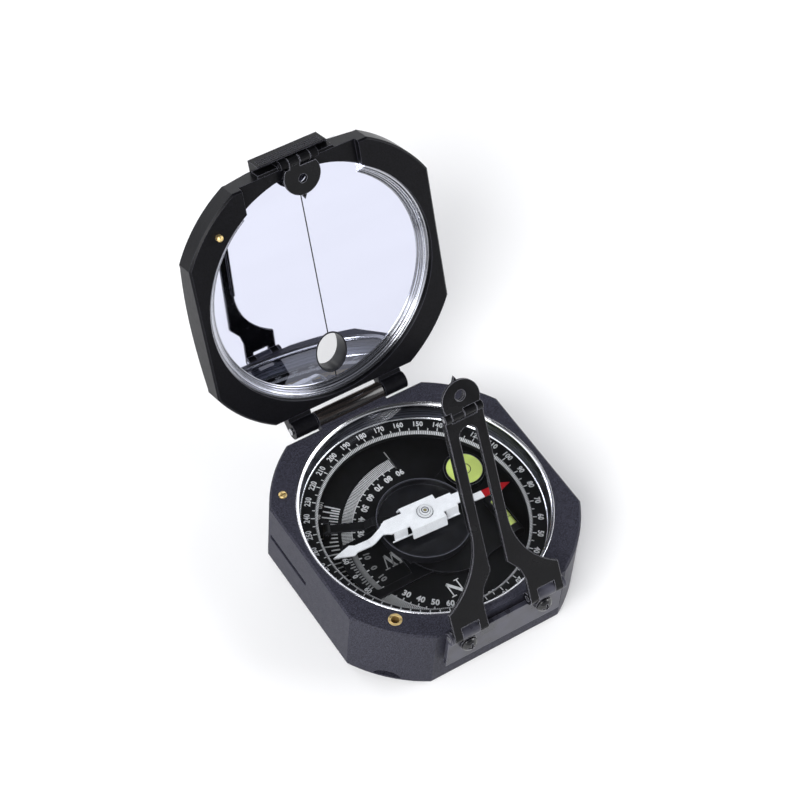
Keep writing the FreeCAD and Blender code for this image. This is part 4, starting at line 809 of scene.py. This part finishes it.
class COMPASS_OT_dip_print(bpy.types.Operator):
    """Prints the dip scale, the percent scale and the point letters on the dial plate"""

    bl_idname = "compass.dip_print"
    bl_label = "Dip scale"

    def execute(self, context):
        sizes = context.scene.compass_print
        axis = middle("clinometer_shaft")
        top = top_of("dial_plate")
        # How far each way from level the scale is printed dimmer, as painted shade under the
        # vernier
        shadowed = 15
        self.figures(sizes, shadowed, top, axis.x, axis.y)
        self.band(sizes, shadowed, top, axis.x, axis.y)
        self.ticks(sizes, top, axis.x, axis.y)
        self.percent_scale(sizes.thick, top, axis.x, axis.y)
        self.point_letters(sizes, top)
        return {"FINISHED"}

    def figures(self, sizes, shadowed, top, x, y):
        """Figures each way from level, at the left. The photograph shows no 20."""
        clear_of_lifter = 1.3
        bright, dim = [], []
        for side in (-1, 1):
            for degrees in range(0, 100, 10):
                if side < 0 and degrees == 0 or degrees == 20:
                    continue
                angle = 180.0 + side * degrees
                if side < 0 and degrees == 30:
                    angle += clear_of_lifter
                # Figures near level are printed dim: painted shade under the vernier
                (dim if degrees < shadowed else bright).append((angle, str(degrees)))
        size = (sizes.dip_height, sizes.thick, 0.045, 0.92)
        for labels, name, finish in ((dim, "dip_figures_in_painted_shade", "faint"),
                                     (bright, "dip_figures", "print")):
            finished(numbered(labels, size, sizes.dip_radius, top, x, y), name, finish)

    def band(self, sizes, shadowed, top, x, y):
        """A line for each degree on an arc, and a plain band in painted shade where the vernier
        covers it.
        """
        thick, inner, outer = sizes.thick, sizes.band_inner, sizes.band_outer
        parts = []
        for start in (90, 180 + shadowed):
            part = arc_band(inner, inner + 0.25, top, top + thick, start, 90 - shadowed, 75)
            place(part, at(x, y, 0))
            parts.append(part)
        degrees = [180 + n for n in range(-90, 91) if abs(n) >= shadowed]
        parts.append(ruled(outer - inner, 0.25, thick, inner, degrees, top, x, y))
        finished(parts, "dip_band", "print")
        covered = arc_band(inner, inner + 1.6, top, top + thick, 180 - shadowed, 2 * shadowed, 30)
        place(covered, at(x, y, 0))
        finished([covered], "dip_band_in_painted_shade", "faint")

    def ticks(self, sizes, top, x, y):
        """Ticks inside the band at each ten and each five, and a line at each end."""
        thick, inner = sizes.thick, sizes.band_inner
        tens = [180 + n for n in range(-90, 91, 10)]
        fives = [180 + n for n in range(-85, 90, 10)]
        ten_tick, five_tick = 0.8, 0.5
        ticks = [ruled(ten_tick, 0.36, thick, inner - ten_tick, tens, top, x, y),
                 ruled(five_tick, 0.32, thick, inner - five_tick, fives, top, x, y)]
        finished(ticks, "dip_ticks", "print")
        ends = ruled(6.6, 0.34, thick, 24.4, (90, 270), top, x, y)
        finished([ends], "dip_end_lines", "band")

    def percent_scale(self, thick, top, x, y):
        """Slopes in percent, outside the dip scale, to 100 percent at 45 degrees."""
        tick_from, width, label_radius = 29.2, 0.42, 34.7
        angles = {rise: 180.0 + math.degrees(math.atan(rise / 100))
                  for rise in range(-100, 101, 5)}
        long = [angle for rise, angle in angles.items() if rise % 10 == 0]
        short = [angle for rise, angle in angles.items() if rise % 10]
        ticks = [ruled(4.5, width, thick, tick_from, long, top, x, y),
                 ruled(2.4, width, thick, tick_from, short, top, x, y)]
        finished(ticks, "percent_ticks", "print")
        labels = [(angles[rise], str(abs(rise))) for rise in range(-100, 101, 20)]
        figures = numbered(labels, (1.3, thick, 0.02, 0.9), label_radius, top, x, y)
        finished(figures, "percent_figures", "print")

    def point_letters(self, sizes, top):
        """The west and north letters, drawn in thick and thin strokes with feet."""
        # For each stroke, its start and end as shares of the letter's size, and its width
        letters = (
            # The west letter is in grey print: painted shade, as on the dim figures near level
            ("west", "band", (-12.3, -3.3), 5.2,
             [(-0.44, 0.5, -0.2, -0.5, 0.8), (-0.2, -0.5, 0.06, 0.5, 0.32),
              (-0.06, 0.5, 0.2, -0.5, 0.8), (0.2, -0.5, 0.44, 0.5, 0.32),
              (-0.6, 0.5, -0.28, 0.5, 0.3), (-0.18, 0.5, 0.16, 0.5, 0.3),
              (0.3, 0.5, 0.58, 0.5, 0.3)]),
            ("north", "print", (-2.4, -19.6), 4.2,
             [(-0.38, -0.5, -0.38, 0.5, 0.34), (-0.42, 0.5, 0.38, -0.5, 0.9),
              (0.38, -0.5, 0.38, 0.5, 0.34), (-0.6, 0.5, -0.3, 0.5, 0.3),
              (-0.56, -0.5, -0.2, -0.5, 0.3), (0.2, 0.5, 0.56, 0.5, 0.3)]),
        )
        for name, finish, spot, width, strokes in letters:
            pieces = []
            for x1, y1, x2, y2, stroke in strokes:
                start = Vector((x1 * width, y1 * sizes.letter_height))
                run = Vector((x2 * width, y2 * sizes.letter_height)) - start
                line = mark(run.length, stroke, sizes.thick)
                heading = math.degrees(math.atan2(run.y, run.x))
                place(line, at(*spot, top, 180.0) @ at(start.x, start.y, 0, heading))
                pieces.append(line)
            finished(pieces, "point_letter_" + name, finish)


class COMPASS_OT_vernier_print(bpy.types.Operator):
    """Prints the vernier's ticks and figures"""

    bl_idname = "compass.vernier_print"
    bl_label = "Vernier print"

    def execute(self, context):
        thick = context.scene.compass_print.thick
        axis = middle("clinometer_shaft")
        plate_thick = 0.8
        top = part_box("clinometer_arm")[0].z / MM + plate_thick
        zero, reach, count, last_label = 181.0, 11.0, 6, 10.7
        tick_from, label_radius = 27.4, 29.15
        angles = {n: zero + n * reach / count for n in range(-count, count + 1)}
        lengths = (([n for n in angles if n % 3], 1.05), ((-3, 3), 1.6), ((-6, 0, 6), 1.05))
        ticks = [ruled(length, 0.4, thick, tick_from, [angles[n] for n in numbers], top,
                       axis.x, axis.y) for numbers, length in lengths]
        finished(ticks, "vernier_ticks", "band", "clinometer")
        labels = ((zero - last_label, "60"), (zero, "0"), (zero + last_label, "60"))
        figures = numbered(labels, (1.6, thick, 0.03, 0.9), label_radius, top, axis.x, axis.y)
        finished(figures, "vernier_figures", "print", "clinometer")
        return {"FINISHED"}


class COMPASS_OT_levels(bpy.types.Operator):
    """Adds the bubbles and the lines of the two levels"""

    bl_idname = "compass.levels"
    bl_label = "Levels"

    def execute(self, context):
        self.round_level()
        self.tube_level()
        return {"FINISHED"}

    def round_level(self):
        """A ring on the vial's top, and a flat round bubble a little off its middle."""
        centre, top = middle("round_level_vial"), top_of("round_level_vial")
        ring_inner, ring_outer, bubble_radius, thick = 1.62, 1.84, 1.25, 0.03
        ring = arc_band(ring_inner, ring_outer, top, top + thick, steps=64)
        place(ring, at(centre.x, centre.y, 0))
        finished([ring], "round_level_ring", "line", "clinometer")
        deselect()
        bpy.ops.mesh.primitive_cylinder_add(vertices=48, radius=bubble_radius * MM,
                                            depth=thick * MM, location=(0, 0, 0))
        bubble = bpy.context.object
        with editing():
            bpy.ops.mesh.bevel(offset=0.012 * MM, segments=2)
        place(bubble, at(centre.x - 0.15, centre.y + 0.1, top + 0.004))
        finished([bubble], "round_level_bubble", "bubble", "clinometer")

    def tube_level(self):
        """Two lines round the tube's top, and a long bubble with a flat underside between."""
        centre = middle("tube_level_vial")
        radius = top_of("tube_level_vial") - centre.z
        line_from_middle, half_line, bubble_below_top = 1.9, 0.1, 0.3
        lines = []
        for side in (-line_from_middle, line_from_middle):
            line = arc_band(radius, radius + 0.03, -half_line, half_line, start=35.0,
                            sweep=110.0, steps=24)
            place(line, at(centre.x, centre.y + side, centre.z) @ rotation(90, "X"))
            lines.append(line)
        finished(lines, "tube_level_lines", "line", "clinometer")
        deselect()
        bpy.ops.mesh.primitive_uv_sphere_add(segments=32, ring_count=16, radius=1.0 * MM,
                                             location=(0, 0, 0))
        bubble = bpy.context.object
        with editing():
            bpy.ops.transform.resize(value=(0.8, 1.7, 0.35))
            cut_off((0, 0, -0.1), (0, 0, 1))
        place(bubble, at(centre.x, centre.y, centre.z + radius - bubble_below_top))
        finished([bubble], "tube_level_bubble", "bubble", "clinometer")


class COMPASS_OT_mirror_line(bpy.types.Operator):
    """Draws the sighting line down the middle of the mirror"""

    bl_idname = "compass.mirror_line"
    bl_label = "Mirror line"

    def execute(self, context):
        onto_mirror = lid_opening() @ at(0, 0, MIRROR_FACE) @ rotation(180, "Y")
        lines = []
        for start, end in ((-31.0, 17.0), (29.4, 33.2)):
            line = mark(end - start, 0.34, 0.015)
            place(line, onto_mirror @ at(0, start, 0, 90.0))
            lines.append(line)
        finished(lines, "mirror_line", "line", "lid")
        return {"FINISHED"}


class COMPASS_OT_glass_trim(bpy.types.Operator):
    """Turns the rounded bezel, the liner and the bead round the glass, and the cup's rim"""

    bl_idname = "compass.glass_trim"
    bl_label = "Glass trim"

    def execute(self, context):
        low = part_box("glass_bezel")[0].z / MM
        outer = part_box("glass_bezel")[1].x / MM
        bezel = turned(inside_of(outer, low, [
            (0, 0), (1.06, 0), (1.08, 0.16), (1.0, 0.36), (0.86, 0.5), (0.44, 0.78), (0.32, 0.86),
            (0.22, 0.86), (0.1, 0.76), (0.01, 0.62),
        ]))
        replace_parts(finished([bezel], "bezel", "chrome", "base"), "glass_bezel")
        foot, head = (corner.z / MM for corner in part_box("glass_liner"))
        high = head - foot
        liner = turned(inside_of(outer, foot, [
            (0, 0), (1.36, 0), (1.36, 0.5), (1.26, 0.6), (1.06, 2.4), (0.98, 2.5), (0.94, 2.7),
            (0.8, high), (0, high),
        ]))
        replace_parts(finished([liner], "liner", "satin chrome", "base"),
                    "glass_liner")
        bead = turned(inside_of(outer, foot, [
            (1.3, 0), (1.62, 0), (1.64, 0.08), (1.56, 0.2), (1.36, 0.4), (1.22, 0.48), (1.2, 0.3),
        ]))
        finished([bead], "liner_bead", "chrome", "base")
        # The cup's rim is grey: a painted highlight of its lit edge
        cup_outer, cup_top = 12.98, 16.38
        rim = turned(inside_of(cup_outer, cup_top, [
            (0, 0), (0.2, 0), (0.18, 0.06), (0.1, 0.08), (0.02, 0.06),
        ]))
        finished([rim], "cup_rim", "edge", "base")
        return {"FINISHED"}


class COMPASS_OT_needle_trim(bpy.types.Operator):
    """Paints dark rings of shade on the needle's cap, at its edge and steps, and lays the wires
    along its wings
    """

    bl_idname = "compass.needle_trim"
    bl_label = "Needle trim"

    def execute(self, context):
        plate, cap = top_of("needle_frame"), top_of("needle_cap")
        # Dark rings where the cap's edge and steps fall in shade: painted shade
        rings = [arc_band(radius, radius + width, level, level + 0.02, steps=48)
                 for radius, width, level in ((2.1, 0.2, plate), (1.45, 0.1, (plate + cap) / 2),
                                              (0.8, 0.26, cap))]
        finished(rings, "cap_shade_rings", "groove", "needle")
        heading, wing_side, wing_drop = -3.3, 3.25, 2.8
        wire, wire_from, wire_length = 0.34, -11.4, 20.6
        wires = []
        for side in (-wing_side, wing_side):
            line = mark(wire_length, wire, wire)
            place(line, at(0, 0, 0, heading) @ at(wire_from, side, plate - wing_drop - wire * 0.6))
            wires.append(line)
        finished(wires, "wing_wires", "white", "needle")
        return {"FINISHED"}


class COMPASS_OT_lift_pin_trim(bpy.types.Operator):
    """Caps the lift pin with two chamfered halves, one each side of its slot, and paints shade at
    the slot's bottom
    """

    bl_idname = "compass.lift_pin_trim"
    bl_label = "Lift pin trim"

    def execute(self, context):
        axis, top = middle("lift_pin"), top_of("lift_pin")
        slot_half, slot_depth, slot_length, rise = 0.2, 0.35, 2.0, 0.08
        cap = turned([
            (slot_half - 0.02, top - 0.01), (1.14, top - 0.01), (1.13, top + 0.01),
            (0.95, top + rise), (slot_half - 0.02, top + rise),
        ], steps=48)
        with editing():
            cut_off((0, slot_half, 0), (0, 1, 0))
        cap = dealt(cap, [at(axis.x, axis.y, 0, heading) for heading in (0, 180)])
        finished([cap], "lift_pin_cap", "brass", "lift_button")
        # A dark mark at the slot's bottom: painted shade in the slot
        shadow = mark(slot_length, 2 * slot_half - 0.04, 0.02)
        place(shadow, at(axis.x - slot_length / 2, axis.y, top - slot_depth))
        finished([shadow], "lift_pin_slot_shade", "line", "lift_button")
        return {"FINISHED"}


class COMPASS_OT_hinge_trim(bpy.types.Operator):
    """Lays the polished skin round the hinge's middle barrel"""

    bl_idname = "compass.hinge_trim"
    bl_label = "Hinge trim"

    def execute(self, context):
        radius, half, skin = 2.4, 10.38, 0.02
        barrel = turned([
            (radius - skin, -half), (radius, -half), (radius + skin, skin * 2 - half),
            (radius + skin, half - skin * 2), (radius, half), (radius - skin, half),
        ], steps=96)
        hinge = Matrix.Translation(Vector(JOINTS["lid_hinge"]["pos_m"]))
        place(barrel, hinge @ rotation(90, "Y"))
        finished([barrel], "hinge_barrel_skin", "barrel", "base")
        return {"FINISHED"}


class COMPASS_OT_lid_trim(bpy.types.Operator):
    """Turns the stepped ring round the mirror, and lines the mirror's window"""

    bl_idname = "compass.lid_trim"
    bl_label = "Lid trim"

    def execute(self, context):
        face, low = MIRROR_FACE, MIRROR_FACE - 2.5
        outer, inner, foot, first_edge = 33.98, 31.06, 33.3, 33.2
        step_in, step_up = 0.54, 0.58
        section = [(outer, low), (foot, low)]
        for step in range(4):
            section += inside_of(first_edge - step_in * step, low + step_up * step, [
                (0, 0.1), (0.06, 0.44), (0.16, 0.54), (0.4, 0.5), (0.5, 0.58),
            ])
        section += [(inner, face - 0.04), (inner, face), (outer, face)]
        # The ring is open towards the lid's free edge, as its solid is
        ring = turned(section, start=-56.5, sweep=293.0, steps=150)
        place(ring, lid_opening())
        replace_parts(finished([ring], "mirror_trim", "lid chrome", "lid"),
                    "mirror_ring")
        # Radii as shares of the oval window's half width and half length
        sleeve = turned([(1.05, 0.0), (1.05, -0.05), (0.97, -0.05), (0.955, 0.1), (0.955, 4.75),
                         (1.0, 4.75), (1.0, 0.0)], steps=72)
        half_width, half_length, window_y = 4.6, 6.0, 23.2
        oval = Matrix.Diagonal((half_width, half_length, 1.0, 1.0))
        place(sleeve, lid_opening() @ at(0, window_y, face) @ oval)
        finished([sleeve], "window_sleeve", "glass edge", "lid")
        return {"FINISHED"}


class COMPASS_PT_panel(bpy.types.Panel):
    """Lists the steps that dress the compass"""

    bl_label = "Geological compass"
    bl_idname = "COMPASS_PT_panel"
    bl_space_type = "VIEW_3D"
    bl_region_type = "UI"
    bl_category = "Compass"

    def draw(self, context):
        for operator in OPERATORS:
            self.layout.operator(operator.bl_idname)
        scene = context.scene
        for group in (scene.compass_finish, scene.compass_print, scene.compass_stage):
            for name in group.__annotations__:
                self.layout.prop(group, name)


OPERATORS = (
    COMPASS_OT_stage,
    COMPASS_OT_finish_nodes,
    COMPASS_OT_azimuth_print,
    COMPASS_OT_dip_print,
    COMPASS_OT_vernier_print,
    COMPASS_OT_levels,
    COMPASS_OT_mirror_line,
    COMPASS_OT_glass_trim,
    COMPASS_OT_needle_trim,
    COMPASS_OT_lift_pin_trim,
    COMPASS_OT_hinge_trim,
    COMPASS_OT_lid_trim,
)
GROUPS = {"compass_finish": CompassFinish, "compass_print": CompassPrint,
          "compass_stage": CompassStage}


def register():
    for kind in (*GROUPS.values(), *OPERATORS, COMPASS_PT_panel):
        bpy.utils.register_class(kind)
    for name, group in GROUPS.items():
        setattr(bpy.types.Scene, name, PointerProperty(type=group))


def unregister():
    for name in GROUPS:
        delattr(bpy.types.Scene, name)
    for kind in (COMPASS_PT_panel, *OPERATORS, *GROUPS.values()):
        bpy.utils.unregister_class(kind)


def main():
    register()
    bpy.ops.compass.stage()
    bpy.ops.compass.finish_nodes()
    bpy.ops.compass.azimuth_print()
    bpy.ops.compass.dip_print()
    bpy.ops.compass.vernier_print()
    bpy.ops.compass.levels()
    bpy.ops.compass.mirror_line()
    bpy.ops.compass.glass_trim()
    bpy.ops.compass.needle_trim()
    bpy.ops.compass.lift_pin_trim()
    bpy.ops.compass.hinge_trim()
    bpy.ops.compass.lid_trim()


if __name__ == "__main__":
    main()
